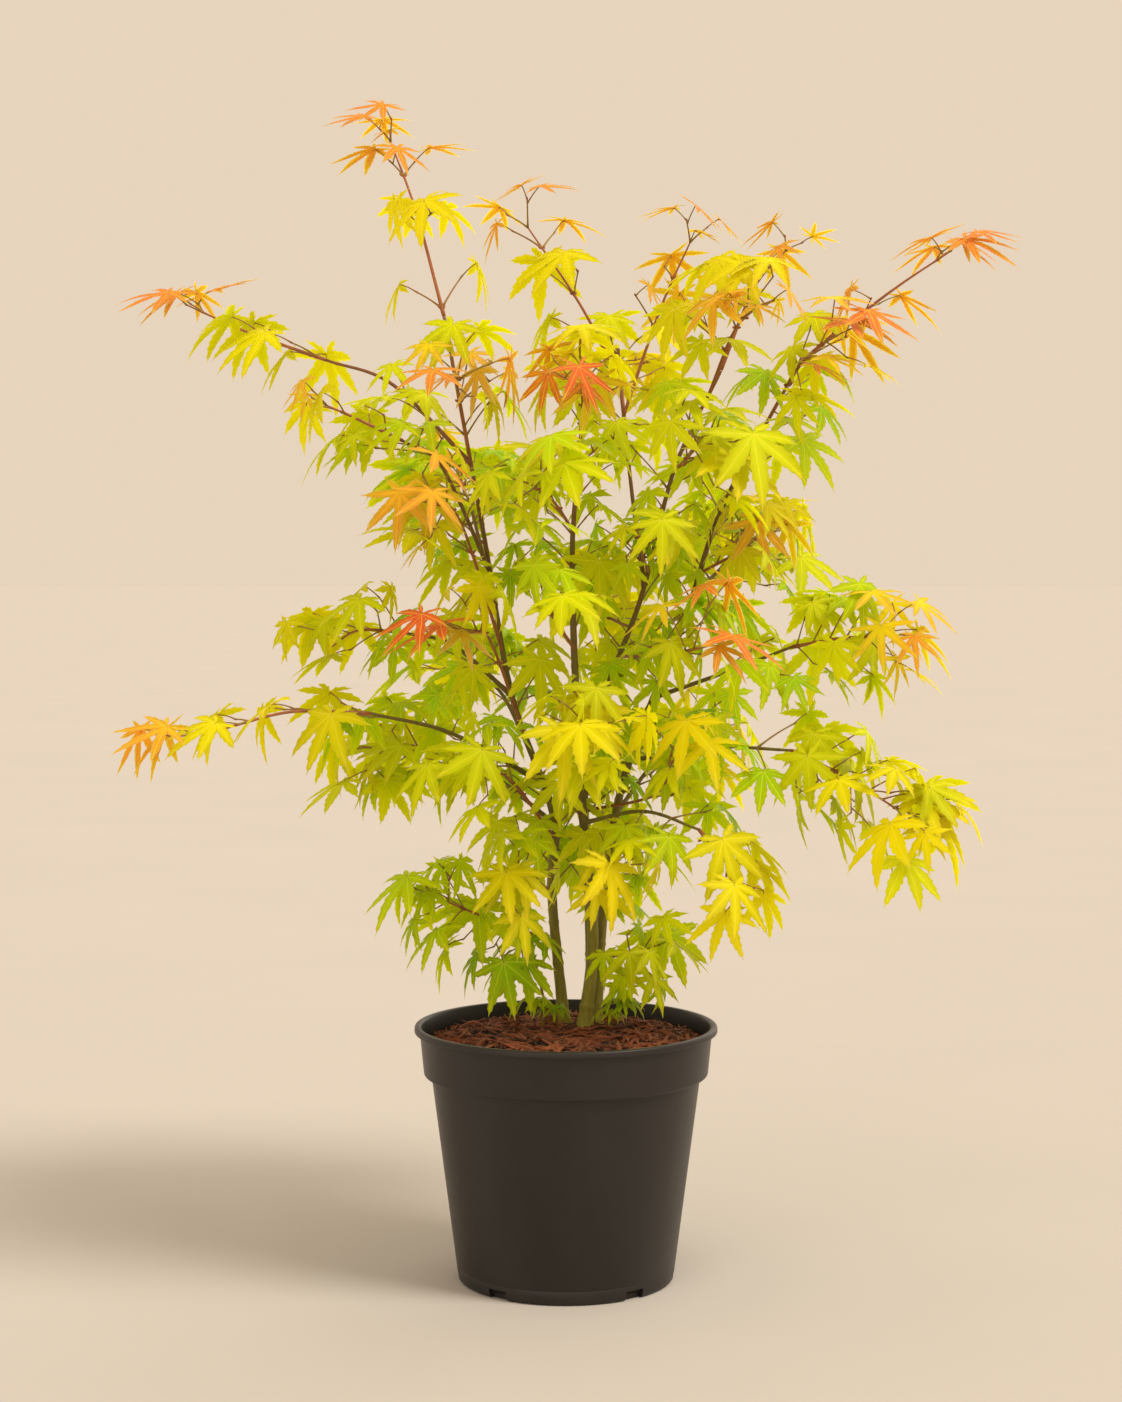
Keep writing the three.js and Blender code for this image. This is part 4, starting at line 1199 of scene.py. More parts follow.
def drawn_pair(stream, way, fork, length, sizes, rise, droops=LEAF_DROOP, rolls=LEAF_ROLL, spread=1):
    """The heading, length, droop and roll of each of the two leaves at a shoot's end."""
    for side in (1, -1):
        across = fork * side * stream.draw(LEAF_FORK) * spread
        heading = unit(way + across + UP * stream.draw(LEAF_LIFT))
        size = length * stream.draw(sizes)
        droop = stream.draw(droops) - rise
        yield heading, size, droop, stream.draw(rolls)


def flatter_at(seat):
    """How much flatter the leaves lie high in the crown."""
    return FLATTER if seat[2] > FLATTER_ABOVE else 0


def node_level(along, node):
    """The way to the side at a node: level, or turned by quarters on a steep shoot."""
    if abs(along[2]) <= UPRIGHT:
        return unit(np.cross(along, UP))
    quarter = math.radians(node * NODE_TURN + FIRST_NODE_TURN)
    return np.array([math.cos(quarter), math.sin(quarter), 0])


@functools.cache
def grow_plant(inner_share):
    """The whole plant, mass by mass in the source's order, then what is finer."""
    garden = Garden()
    for index, name in enumerate(FOLIAGE):
        garden.grow_mass(name, index)
    for index, name in enumerate(FOLIAGE):
        if name not in AIRY:
            garden.grow_finer(name, index)
    garden.grow_basal()
    garden.grow_inner(inner_share)
    return garden


def tint_of(spray, stream):
    """The tint of a spray: its own, or its mass's by how far out on the leader it is."""
    if spray["tint"]:
        return spray["tint"]
    tints = FOLIAGE[spray["mass"]].tints.split()
    tint = tints[int(spray["share"] * len(tints) * 0.999)]
    shaded = spray["kind"] == "fine" and stream() < SHADED_SHARE
    return TINTS[tint].shaded if shaded else tint


# The blade: seven lobes with toothed edges. Angles in degrees from the middle lobe, the rest as shares of
# the leaf's length.
BLADE_LOBES = ((-126, 0.4), (-88, 0.66), (-41, 0.92), (0, 1), (41, 0.92), (88, 0.66), (126, 0.4))
BLADE_NOTCHES = (
    (-160, 0.04), (-107, 0.13), (-64, 0.2), (-20, 0.24), (20, 0.24), (64, 0.2), (107, 0.13), (160, 0.04))
HALF_WIDTHS = (0.043, 0.075, 0.097, 0.102, 0.097, 0.075, 0.043)
TEETH = (2, 3, 5, 5, 5, 3, 2)
RIB_SHARES = (0.24, 0.45, 0.66, 0.85)
SMALL_LEAF = 31
SMALL_TEETH = (1, 1, 2, 2, 2, 1, 1)
SMALL_RIB_SHARES = (0.36, 0.7)
TOOTH = 0.026
TOOTH_STEP = 0.045
BLADE_THICKNESS = 0.011
FOLD = 0.22
WIDEST = 0.38
YOUNG_WIDTH = 0.76
ROUNDNESS = 0.9
EDGE_START = 0.12

# How leaves differ: the least and the greatest share of a measure, or how far it strays
FAN = (0.9, 1.06)
LOBE_SWING = math.radians(2.6)
LOBE_REACH = (0.92, 1.05)
NOTCH_REACH = (0.85, 1.15)
BREADTH = (0.84, 1.14)
SAG = (0.75, 1.3)
LOBE_BEND = 0.03
FOLDS = (0.5, 1.4)

# The rest as shares of the length: how the edge, the fold, the fall and the ripple run along a lobe
THINNEST = 0.004
GAP_DEPTH = 0.004
TOOTH_FADE = 0.4
WEB_FADE = 7
WEB_LIMIT = 0.95
NOTCH_LIFT = 0.06
STRAIGHT_FALL = 0.3
TIP_FALL = 0.05
LEAST_SAG = 0.4
RIPPLE = 0.012
RIPPLES = 5

# Where the veins' nodes see a notch and the start of a lobe's edge
VEIN_NOTCH = (0.08, 0.2)
VEIN_START = 0.24
VEIN_WEB = 0.08
VEIN_WEB_FADE = 9
YOUNG_TINTS = ("amber", "orange", "coral", "scarlet", "salmon")


def bulge(share):
    """The lance shape of half a lobe, 1 at its widest."""
    narrowing = ROUNDNESS * (1 - WIDEST) / WIDEST
    return (share / WIDEST) ** ROUNDNESS * ((1 - share) / (1 - WIDEST)) ** narrowing


class BladePlan:
    """The points of a leaf and its triangles, which are the same for every leaf of its kind."""

    def __init__(self, lobe_teeth, rib_shares):
        self.rows = [("foot", 0, 0, 0), ("foot", 0, 0, 1)]
        self.rim = [False, False]
        self.faces = []
        self.corners = []
        notches = [self.point("notch", i, 0, 0, True) for i in range(len(BLADE_NOTCHES))]
        for lobe, teeth in enumerate(lobe_teeth):
            tip = self.point("tip", lobe, 0, 1, True)
            top = [self.point("rib", lobe, 0, share, False) for share in rib_shares]
            under = [self.point("under", lobe, 0, share, False) for share in rib_shares]
            for hand in (-1, 1):
                notch = notches[lobe + (hand + 1) // 2]
                edge = [(notch, EDGE_START)]
                for tooth in range(teeth):
                    share = (tooth + 0.75) / (teeth + 0.6)
                    edge.append((self.point("tooth", lobe, hand, share, True), share))
                    after = share + TOOTH_STEP
                    edge.append((self.point("gap", lobe, hand, after, True), after))
                edge.append((tip, 1.0))
                self.half_lobe(lobe, hand, edge, [(0, 0.0), *zip(top, rib_shares)], False)
                self.half_lobe(lobe, hand, edge, [(1, 0.0), *zip(under, rib_shares)], True)
        self.close_at_stalk(notches[0], notches[-1])

    def point(self, kind, number, hand, share, rim):
        self.rows.append((kind, number, hand, share))
        self.rim.append(rim)
        return len(self.rows) - 1

    def half_lobe(self, lobe, hand, edge, rib, under):
        """Triangles between a lobe's rib and one of its edges."""
        i = j = 0
        while i < len(edge) - 1 or j < len(rib) - 1:
            rib_next = rib[j + 1][1] if j < len(rib) - 1 else 2
            edge_next = edge[i + 1][1] if i < len(edge) - 1 else 3
            if rib_next <= edge_next:
                face = (rib[j][0], rib[j + 1][0], edge[i][0])
                j += 1
            else:
                face = (rib[j][0], edge[i + 1][0], edge[i][0])
                i += 1
            if (hand < 0) != under:
                face = face[::-1]
            self.faces.append(face)
            self.corners.extend((lobe, point) for point in face)

    def close_at_stalk(self, first, last):
        """Closes the gap between the two outermost notches, behind the foot."""
        for face in ((0, last, first), (1, first, last)):
            self.faces.append(face)
            self.corners.extend((0, point) for point in face)


def blade_points(plan, leaves, widths, seeds):
    """The points of every leaf. widths gives each leaf's breadth as a share of the usual one."""
    count = len(leaves)
    lobes = len(BLADE_LOBES)
    narrow = np.array(widths)[:, None]
    draws = np.random.default_rng(seeds)
    turn = np.radians([angle for angle, _ in BLADE_LOBES]) * draws.uniform(*FAN, (count, 1))
    turn = turn + draws.normal(0, LOBE_SWING, (count, lobes))
    reach = np.array([share for _, share in BLADE_LOBES]) * draws.uniform(*LOBE_REACH, (count, lobes))
    notch_turn = np.radians([angle for angle, _ in BLADE_NOTCHES]) * np.ones((count, 1))
    notch_turn[:, 1:-1] = (turn[:, :-1] + turn[:, 1:]) / 2
    notch_reach = np.array([share for _, share in BLADE_NOTCHES]) * draws.uniform(*NOTCH_REACH, (count, 1))
    notch_reach = notch_reach * narrow
    width = np.array(HALF_WIDTHS) * draws.uniform(*BREADTH, (count, 1)) * narrow
    tooth = TOOTH * narrow[:, 0] ** 4
    sag = draws.uniform(*SAG, (count, lobes)) * narrow**3
    bend = draws.normal(0, LOBE_BEND, (count, lobes))
    fold = FOLD * draws.uniform(*FOLDS, (count, 1))
    wave = draws.uniform(0, 2 * math.pi, (count, lobes))
    local = np.zeros((count, len(plan.rows), 3))
    for number, (kind, which, hand, share) in enumerate(plan.rows):
        if kind == "foot":
            local[:, number, 2] = BLADE_THICKNESS * (0.6 if share == 0 else -0.6)
            continue
        if kind == "notch":
            along = notch_reach[:, which]
            direction = notch_turn[:, which]
            aside = np.zeros(count)
            lobe = min(max(which - 1, 0), lobes - 1)
            lift = fold[:, 0] * NOTCH_LIFT
        else:
            lobe = which
            direction = turn[:, lobe]
            along = reach[:, lobe] * share
            aside = np.zeros(count)
            if hand:
                notch = lobe + (hand + 1) // 2
                near = notch_reach[:, notch]
                spread = np.abs(notch_turn[:, notch] - direction)
                start = near * np.cos(spread)
                along = start + (reach[:, lobe] - start) * share
                aside = near * np.sin(spread) * (1 - share) ** WEB_FADE + width[:, lobe] * bulge(share)
                aside = aside + (tooth * (1 - TOOTH_FADE * share) if kind == "tooth" else -GAP_DEPTH)
                aside = np.clip(aside, THINNEST, along * np.tan(spread) * WEB_LIMIT) * hand
            lift = fold[:, 0] * np.abs(aside)
        ratio = along / reach[:, lobe]
        swerve = bend[:, lobe] * ratio**2 if kind != "notch" else 0.0
        distance = np.hypot(along, aside)
        fall = STRAIGHT_FALL * distance + (1 - STRAIGHT_FALL) * distance**2
        drop = LEAF_FALL * fall * sag[:, lobe] + TIP_FALL * ratio**4 * (sag[:, lobe] - LEAST_SAG)
        ripple = RIPPLE * np.sin(RIPPLES * ratio + wave[:, lobe]) * (kind != "notch")
        side = aside + swerve
        local[:, number, 0] = np.cos(direction) * along - np.sin(direction) * side
        local[:, number, 1] = np.sin(direction) * along + np.cos(direction) * side
        local[:, number, 2] = lift - drop + ripple
        if kind in ("rib", "under"):
            thick = BLADE_THICKNESS * (0.5 - 0.3 * share)
            local[:, number, 2] += thick if kind == "rib" else -thick
    lengths = np.array([leaf["length"] for leaf in leaves])[:, None, None]
    axes = np.array([[leaf["ahead"], leaf["aside"], leaf["face"]] for leaf in leaves])
    feet = np.array([leaf["foot"] for leaf in leaves])[:, None]
    return feet + np.einsum("npk,nkx->npx", local * lengths, axes)


def vein_places(plan):
    """Where each corner of a triangle is on its lobe: distance from the rib, and distance along it."""
    places = []
    for lobe, point in plan.corners:
        kind, _, hand, share = plan.rows[point]
        reach = BLADE_LOBES[lobe][1]
        if kind == "foot":
            places.append((0, 0))
        elif kind == "notch":
            places.append(VEIN_NOTCH)
        elif hand:
            start = VEIN_START * reach
            aside = VEIN_WEB * (1 - share) ** VEIN_WEB_FADE + HALF_WIDTHS[lobe] * bulge(share)
            places.append((aside, start + (reach - start) * share))
        else:
            places.append((0, reach * share))
    return np.array(places)


# Pieces

TWIG_RADII = {"leaf": 0.62, "inner": 0.6, "fine": 0.55, "young": 0.45, "bud": 0.5, "basal": 1.0}
TWIG_SHAPE = np.array([1.4, 1, 0.9, 0.82, 0.8, 0.95])
TWIG_SIDES = 6
BENT_STATIONS = 6
TWIG_RISE = 0.03
SHORTEST_TWIG = 3
LEADER_SIDES = 8
LEADER_STEP = 3
LEADER_RADII = (1.15, 0.5)
NODE_SWELL = 0.3
NODE_SWELL_LENGTH = 2
LEADER_BUD = 1.7
SHOOT_BUD = 1.3
BUD_STATIONS = np.array([[-0.3], [0.2], [0.65], [1.1], [1.5]])
BUD_SHAPE = np.array([0.3, 0.46, 0.5, 0.32, 0.06])

# Stalks: the radius, what each millimetre of the leaf adds to it, and how they run on under the blade
STALK_RADIUS = 0.34
STALK_THICKENING = 0.0045
STALK_SHAPE = np.array([1.3, 0.95, 0.85, 0.8, 0.8, 0.95, 0.4])
STALK_SIDES = 5
STALK_RISE = 0.05
STALK_UNDER = 0.06
STALK_BELOW = 0.35


def finished(piece, nodes=()):
    """Joins a piece to the root body, and hides the source's nodes that it takes the place of."""
    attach(piece, "root")
    if nodes:
        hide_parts(*nodes)


def inner_profile():
    """The inside of the pot's wall, from the floor up to the lip."""
    collar_foot = POT_HEIGHT - COLLAR_HEIGHT
    return [
        (BASE_RADIUS - WALL, FLOOR),
        (BODY_TOP_RADIUS - WALL, collar_foot + 1),
        (COLLAR_FOOT_RADIUS - WALL, collar_foot + 3),
        (LIP_INNER_RADIUS, POT_HEIGHT - 0.8),
    ]


def pot_profile():
    """The closed profile of the pot: up the outside, over the lip and down the inside."""
    collar_foot = POT_HEIGHT - COLLAR_HEIGHT
    lip_foot = POT_HEIGHT - LIP_HEIGHT
    taper = (BODY_TOP_RADIUS - BASE_RADIUS) / (collar_foot - BASE_ROUNDING)
    line_radius = BASE_RADIUS + taper * (BASE_LINE_HEIGHT - BASE_ROUNDING)
    outside = [
        (0, 0),
        (BASE_RADIUS - 6, 0),
        (BASE_RADIUS, 0),
        (line_radius - 0.1, BASE_LINE_HEIGHT - 0.5),
        (line_radius - BASE_LINE_DEPTH, BASE_LINE_HEIGHT),
        (line_radius + 0.1, BASE_LINE_HEIGHT + 0.5),
        (BODY_TOP_RADIUS, collar_foot),
        (COLLAR_FOOT_RADIUS, collar_foot + 0.8),
        (COLLAR_TOP_RADIUS, lip_foot),
        (RIM_RADIUS, lip_foot + 0.4),
        (RIM_RADIUS - 0.2, POT_HEIGHT),
        (LIP_INNER_RADIUS + 0.4, POT_HEIGHT),
    ]
    rounding = {2: BASE_ROUNDING, 6: 0.8, 7: 1.6, 8: 0.8, 9: 1.1, 10: 1.6, 11: 1.4}
    inside = [(LIP_INNER_RADIUS - 0.6, POT_HEIGHT - 5.5), *reversed(inner_profile()[:3]), (0, FLOOR)]
    return [*rounded([*outside, inside[0]], rounding), *inside[1:]]


def notch_cutters():
    """Boxes that cut the drainage notches up into the pot's bottom edge."""
    shape = Shape()
    corners = np.array([(x, y, z) for x in (-0.5, 0.5) for y in (-1, 1) for z in (-1, 1)])
    corners = corners * (NOTCH_WIDTH, NOTCH_DEPTH, NOTCH_HEIGHT)
    faces = np.array(
        [(0, 1, 3), (0, 3, 2), (4, 6, 7), (4, 7, 5), (0, 4, 5), (0, 5, 1),
         (2, 3, 7), (2, 7, 6), (0, 2, 6), (0, 6, 4), (1, 5, 7), (1, 7, 3)])
    for angle in NOTCH_ANGLES:
        turn = math.radians(angle)
        box = corners - (0, BASE_RADIUS, 0)
        x = box[:, 0] * math.cos(turn) - box[:, 1] * math.sin(turn)
        y = box[:, 0] * math.sin(turn) + box[:, 1] * math.cos(turn)
        shape.add(np.column_stack([x, y, box[:, 2]]), faces)
    return shape.piece("notch_cutters", [])


def baked(piece, name):
    """A piece with its modifiers worked into a plain mesh, in place of the old one."""
    bpy.context.view_layer.update()
    graph = bpy.context.evaluated_depsgraph_get()
    mesh = bpy.data.meshes.new_from_object(piece.evaluated_get(graph))
    mesh.name = name
    bpy.data.objects.remove(piece)
    return placed(name, mesh)


def build_pot(settings):
    """The pot, with its notches cut out."""
    shape = Shape()
    shape.add(*lathe(pot_profile(), settings.sides))
    body = shape.piece("pot_body", [plastic_material(settings)])
    cutters = notch_cutters()
    cut = body.modifiers.new("notches", "BOOLEAN")
    cut.operation = "DIFFERENCE"
    cut.solver = "EXACT"
    cut.object = cutters
    pot = baked(body, "moulded_pot")
    bpy.data.objects.remove(cutters)
    pot.data.set_sharp_from_angle(angle=math.radians(POT_CREASE))
    finished(pot, ["pot"])


def mulch_height(x, y, edge_radius):
    """The mulch's uneven surface: nearly level round the stems and a little lower at the wall."""
    radius = math.hypot(x, y)
    share = min(1.0, max(0.0, (edge_radius - radius) / (edge_radius - SOIL_LEVEL_RADIUS)))
    rise = SOIL_EDGE_HEIGHT + (SOIL_CENTRE_HEIGHT - SOIL_EDGE_HEIGHT) * share
    broad = noise.noise(Vector((x, y, LUMP_LAYER)) / LUMP_LENGTH)
    fine = noise.noise(Vector((x, y, CRUMB_LAYER)) / CRUMB_LENGTH)
    return rise - SOIL_LOWERED + SOIL_ROUGHNESS * broad + SOIL_GRAIN * SOIL_ROUGHNESS * fine


def mulch_edge_radius():
    """The mulch's radius where it meets the wall."""
    low, high = inner_profile()[2:]
    share = (SOIL_EDGE_HEIGHT - low[1]) / (high[1] - low[1])
    return low[0] + (high[0] - low[0]) * share - SOIL_GAP


def build_mulch(settings):
    """The compost with its uneven top, and chips strewn over that."""
    edge = mulch_edge_radius()
    wall = [(radius - SOIL_GAP, height + SOIL_GAP) for radius, height in inner_profile()[:3]]
    top = [(edge * (1 - k / MULCH_RINGS), SOIL_EDGE_HEIGHT) for k in range(MULCH_RINGS + 1)]
    points, faces = lathe([(0, wall[0][1]), *wall, *top], MULCH_SIDES)
    for point in points:
        if point[2] > SOIL_EDGE_HEIGHT - TINY:
            point[2] = mulch_height(point[0], point[1], edge)
    bed = Shape()
    bed.add(points, faces)
    finished(bed.piece("compost_bed", [compost_material(settings)]), ["soil"])
    first = 1 + len(wall) * MULCH_SIDES
    surface = Shape()
    surface.add(points, faces[(faces >= first).all(axis=1)])
    chips = surface.piece("bark_mulch", [])
    shapes = [chip_shape(number) for number in range(CHIP_KINDS)]
    modifier = chips.modifiers.new("chips", "NODES")
    modifier.node_group = chip_tree(shapes)
    values = {
        "Chips per Square Metre": settings.chips,
        "Shortest": settings.shortest,
        "Longest": settings.longest,
        "Seed": STREWN_SEED,
        "Finish": chip_material(settings),
    }
    for item in modifier.node_group.interface.items_tree:
        if item.in_out == "INPUT" and item.name in values:
            modifier[item.identifier] = values[item.name]
    mulch = baked(chips, "bark_mulch")
    for shape in shapes:
        bpy.data.objects.remove(shape)
    mulch.data.polygons.foreach_set("use_smooth", np.zeros(len(mulch.data.polygons), bool))
    finished(mulch)


def chip_shape(number):
    """One sliver of shredded bark, a metre long, bent and tapered, to be placed many times."""
    draws = np.random.default_rng(CHIP_SEED + number)
    stations = CHIP_STATIONS
    along = np.linspace(-0.5, 0.5, stations)
    width = draws.uniform(*CHIP_WIDTH) * np.array([0.35, 0.9, 1, 0.8, 0.3])
    width = width * draws.uniform(0.8, 1.2, stations)
    depth = width * draws.uniform(*CHIP_DEPTH)
    bend = draws.normal(0, CHIP_BEND, stations)
    arch = draws.normal(0, CHIP_ARCH, stations) + 0.1 * (0.25 - along**2)
    points = []
    for k in range(stations):
        for side, over in ((-1, -0.6), (1, -1), (0.8, 1), (-0.9, 0.7)):
            points.append((along[k], bend[k] + side * width[k], arch[k] + over * depth[k]))
    faces = []
    for k in range(stations - 1):
        for side in range(4):
            a = 4 * k + side
            b = 4 * k + (side + 1) % 4
            faces.extend([(a, a + 4, b), (b, a + 4, b + 4)])
    end = 4 * (stations - 1)
    faces.extend([(0, 1, 2), (0, 2, 3), (end, end + 2, end + 1), (end, end + 3, end + 2)])
    shape = Shape()
    shape.add(np.array(points) / MM, np.array(faces)[:, ::-1])
    return shape.piece(f"chip_{number}", [])


def chip_tree(shapes):
    """Geometry nodes that strew chips over a surface, each turned, tilted and sized by chance."""
    tree = bpy.data.node_groups.new("strewn chips", "GeometryNodeTree")
    sockets = {
        "Surface": "NodeSocketGeometry",
        "Chips per Square Metre": FLOAT,
        "Shortest": FLOAT,
        "Longest": FLOAT,
        "Seed": "NodeSocketInt",
        "Finish": "NodeSocketMaterial",
    }
    for name, kind in sockets.items():
        tree.interface.new_socket(name, in_out="INPUT", socket_type=kind)
    tree.interface.new_socket("Chips", in_out="OUTPUT", socket_type="NodeSocketGeometry")
    entry = tree.nodes.new("NodeGroupInput").outputs
    points = add_node(
        tree, "GeometryNodeDistributePointsOnFaces",
        {"Mesh": entry["Surface"], "Density": entry["Chips per Square Metre"], "Seed": entry["Seed"]})
    place = add_node(tree, "GeometryNodeInputPosition")
    level = {0: place.outputs[0], 1: (1, 1, 0)}
    flat = add_node(tree, "ShaderNodeVectorMath", level, operation="MULTIPLY").outputs[0]
    radius = add_node(tree, "ShaderNodeVectorMath", {0: flat}, operation="LENGTH").outputs["Value"]
    near_wall = ranged(tree, radius, *CHIPS_SHRINK, 1.0, CHIP_SIZE_AT_WALL)
    within = math_node(tree, "LESS_THAN", radius, CHIPS_END)
    gather = add_node(tree, "GeometryNodeGeometryToInstance")
    for shape in shapes:
        info = add_node(tree, "GeometryNodeObjectInfo", {"Object": shape})
        tree.links.new(info.outputs["Geometry"], gather.inputs[0])
    turns = {
        0: (-CHIP_TILT, -CHIP_TILT, 0), 1: (CHIP_TILT, CHIP_TILT, 2 * math.pi), "Seed": entry["Seed"]}
    turn = add_node(tree, "FunctionNodeRandomValue", data_type="FLOAT_VECTOR")
    feed(tree, turn, turns)
    size = add_node(
        tree, "FunctionNodeRandomValue", {2: entry["Shortest"], 3: entry["Longest"]}, data_type="FLOAT")
    scale = math_node(tree, "MULTIPLY", size.outputs[1], near_wall)
    strewn = add_node(
        tree, "GeometryNodeInstanceOnPoints",
        {"Points": points.outputs["Points"], "Selection": within, "Instance": gather.outputs[0],
         "Pick Instance": True, "Rotation": turn.outputs[0], "Scale": scale})
    tone = add_node(tree, "FunctionNodeRandomValue", data_type="FLOAT")
    stored = add_node(
        tree, "GeometryNodeStoreNamedAttribute",
        {"Geometry": strewn.outputs[0], "Name": "chip_tone", "Value": tone.outputs[1]},
        data_type="FLOAT", domain="INSTANCE")
    real = add_node(tree, "GeometryNodeRealizeInstances", {"Geometry": stored.outputs[0]})
    ended = add_node(
        tree, "GeometryNodeSetMaterial", {"Geometry": real.outputs[0], "Material": entry["Finish"]})
    feed(tree, tree.nodes.new("NodeGroupOutput"), {"Chips": ended.outputs[0]})
    return tree


def bark_radii(path, radii, sides, relief, seed):
    """Radii with the bark's ridges, and a ring at each old leaf node."""
    steps = np.linalg.norm(np.diff(path, axis=0), axis=1)
    run = np.concatenate([[0], np.cumsum(steps)])
    angles = 2 * math.pi * np.arange(sides) / sides
    ridges = np.empty((len(path), sides))
    for i, distance in enumerate(run):
        for k, angle in enumerate(angles):
            across = math.cos(angle) * RIDGES_ROUND, math.sin(angle) * RIDGES_ROUND
            spot = Vector((*across, distance / RIDGE_LENGTH + seed))
            ridges[i, k] = noise.noise(spot) + 0.5 * noise.noise(spot * FINER_RIDGES)
    stream = Stream(seed)
    rings = np.zeros(len(path))
    place = BARK_NODE_STEP * stream.draw(FIRST_BARK_NODE)
    while place < run[-1]:
        rings += sum(height * np.exp(-(((run - place) / breadth) ** 2)) for height, breadth in NODE_RINGS)
        place += BARK_NODE_STEP * stream.draw(NEXT_BARK_NODE)
    return radii[:, None] * (1 + relief * ridges + rings[:, None])


def limb_path(name, curve, radius_at):
    """Stations along a limb. A stem starts just under the mulch and a bough on its parent's axis."""
    count = max(FEWEST_STATIONS, int(curve.length() / RING_STEP))
    shares = np.linspace(0, 1, count + 1)
    path = curve.at(shares)
    radii = radius_at(shares)
    if name in STEMS:
        radii = radii * (1 - SLIMMER * shares)
        sunk = path[0] - (0, 0, STEM_SINK)
        return np.vstack([sunk, path]), np.concatenate([[radii[0] * SUNK_SHARE], radii])
    radii = radii * (1 - SLIMMER / 2 - SLIMMER / 2 * shares)
    along = shares * curve.length()
    return path, radii * (1 + BOUGH_SWELL * np.exp(-along / SWELL_LENGTH))


def build_limbs(settings):
    """Every stem and bough with the bark's relief, and the old cut stub."""
    bark = bark_material(settings)
    for number, (name, (curve, radius_at)) in enumerate(grow_limbs().items()):
        path, radii = limb_path(name, curve, radius_at)
        sides = STEM_SIDES if name.startswith("stem") else BOUGH_SIDES
        shape = Shape()
        relief = bark_radii(path, radii, sides, settings.relief, BARK_SEED * (number + 1))
        shape.add(*tube(path, relief, sides))
        finished(shape.piece(f"{name}_bark", [bark]), [name])
    path = Curve(STUB).at(np.linspace(0, 1, STUB_STATIONS))
    radii = STUB_RADIUS * (1 + STUB_SWELL * np.exp(-np.arange(STUB_STATIONS) / 3))
    relief = bark_radii(path, radii, BOUGH_SIDES, settings.relief, STUB_SEED)
    points, faces = tube(path, relief, BOUGH_SIDES)
    stub = Shape()
    stub.add(points, faces, np.arange(len(faces)) >= len(faces) - BOUGH_SIDES)
    finished(stub.piece("cut_stub", [bark, cut_material()]))


def bent(start, end, rise):
    """Stations from one place to another, bowed upwards by a share of the way."""
    shares = np.linspace(0, 1, BENT_STATIONS)[:, None]
    rise = rise * np.linalg.norm(end - start)
    return start + (end - start) * shares + UP * rise * np.sin(math.pi * shares)


def bud_shape(seat, way, size):
    """A small pointed bud that sits in the angle of a leaf."""
    return tube(seat + way * size * BUD_STATIONS, size * BUD_SHAPE, TWIG_SIDES)


def build_twigs(garden, materials):
    """Leaders, thicker at each node, their shoots in the second finish, and buds beside the leaves."""
    twigs = Shape()
    buds = Shape()
    for name, row in FOLIAGE.items():
        leader = garden.leaders[name]
        length = leader.length()
        shares = np.linspace(0, 1, max(FEWEST_STATIONS, int(length / LEADER_STEP)) + 1)
        foot, tip = LEADER_RADII
        radii = foot - (foot - tip) * shares
        for node in row.nodes:
            away = (shares - node) * length / NODE_SWELL_LENGTH
            radii = radii * (1 + NODE_SWELL * np.exp(-(away**2)))
        twigs.add(*tube(leader.at(shares), radii, LEADER_SIDES))
        for node in row.nodes:
            along = leader.direction(node)
            level = node_level(along, 0)
            for hand in (1, -1):
                seat = leader.at(node) + level * hand
                buds.add(*bud_shape(seat, unit(level * hand + along), LEADER_BUD))
    for spray in garden.sprays:
        start, end = spray["root"], spray["tip"]
        if np.linalg.norm(end - start) < SHORTEST_TWIG:
            continue
        radii = TWIG_RADII[spray["kind"]] * TWIG_SHAPE
        twigs.add(*tube(bent(start, end, TWIG_RISE), radii, TWIG_SIDES), 1)
        if spray["kind"] in ("leaf", "inner"):
            buds.add(*bud_shape(end, unit(end - start), SHOOT_BUD))
    nodes = [f"foliage_{name}" for name in FOLIAGE]
    finished(twigs.piece("twigs", materials), nodes)
    finished(buds.piece("buds", materials[:1]), nodes)


def build_stalks(garden, material):
    """The thin stalk of each leaf, from its shoot to a little way under the blade."""
    stalks = Shape()
    for spray in garden.sprays:
        for number, leaf in enumerate(spray["leaves"]):
            start = leaf["root"]
            if number and spray["kind"] != "bud":
                start = spray["root"] + (spray["tip"] - spray["root"]) * STALK_SEAT
            foot = leaf["foot"]
            under = foot + leaf["ahead"] * STALK_UNDER * leaf["length"] - leaf["face"] * STALK_BELOW
            radii = (STALK_RADIUS + STALK_THICKENING * leaf["length"]) * STALK_SHAPE
            stalks.add(*tube(np.vstack([bent(start, foot, STALK_RISE), under]), radii, STALK_SIDES))
    finished(stalks.piece("leaf_stalks", [material]), [f"foliage_{name}" for name in FOLIAGE])


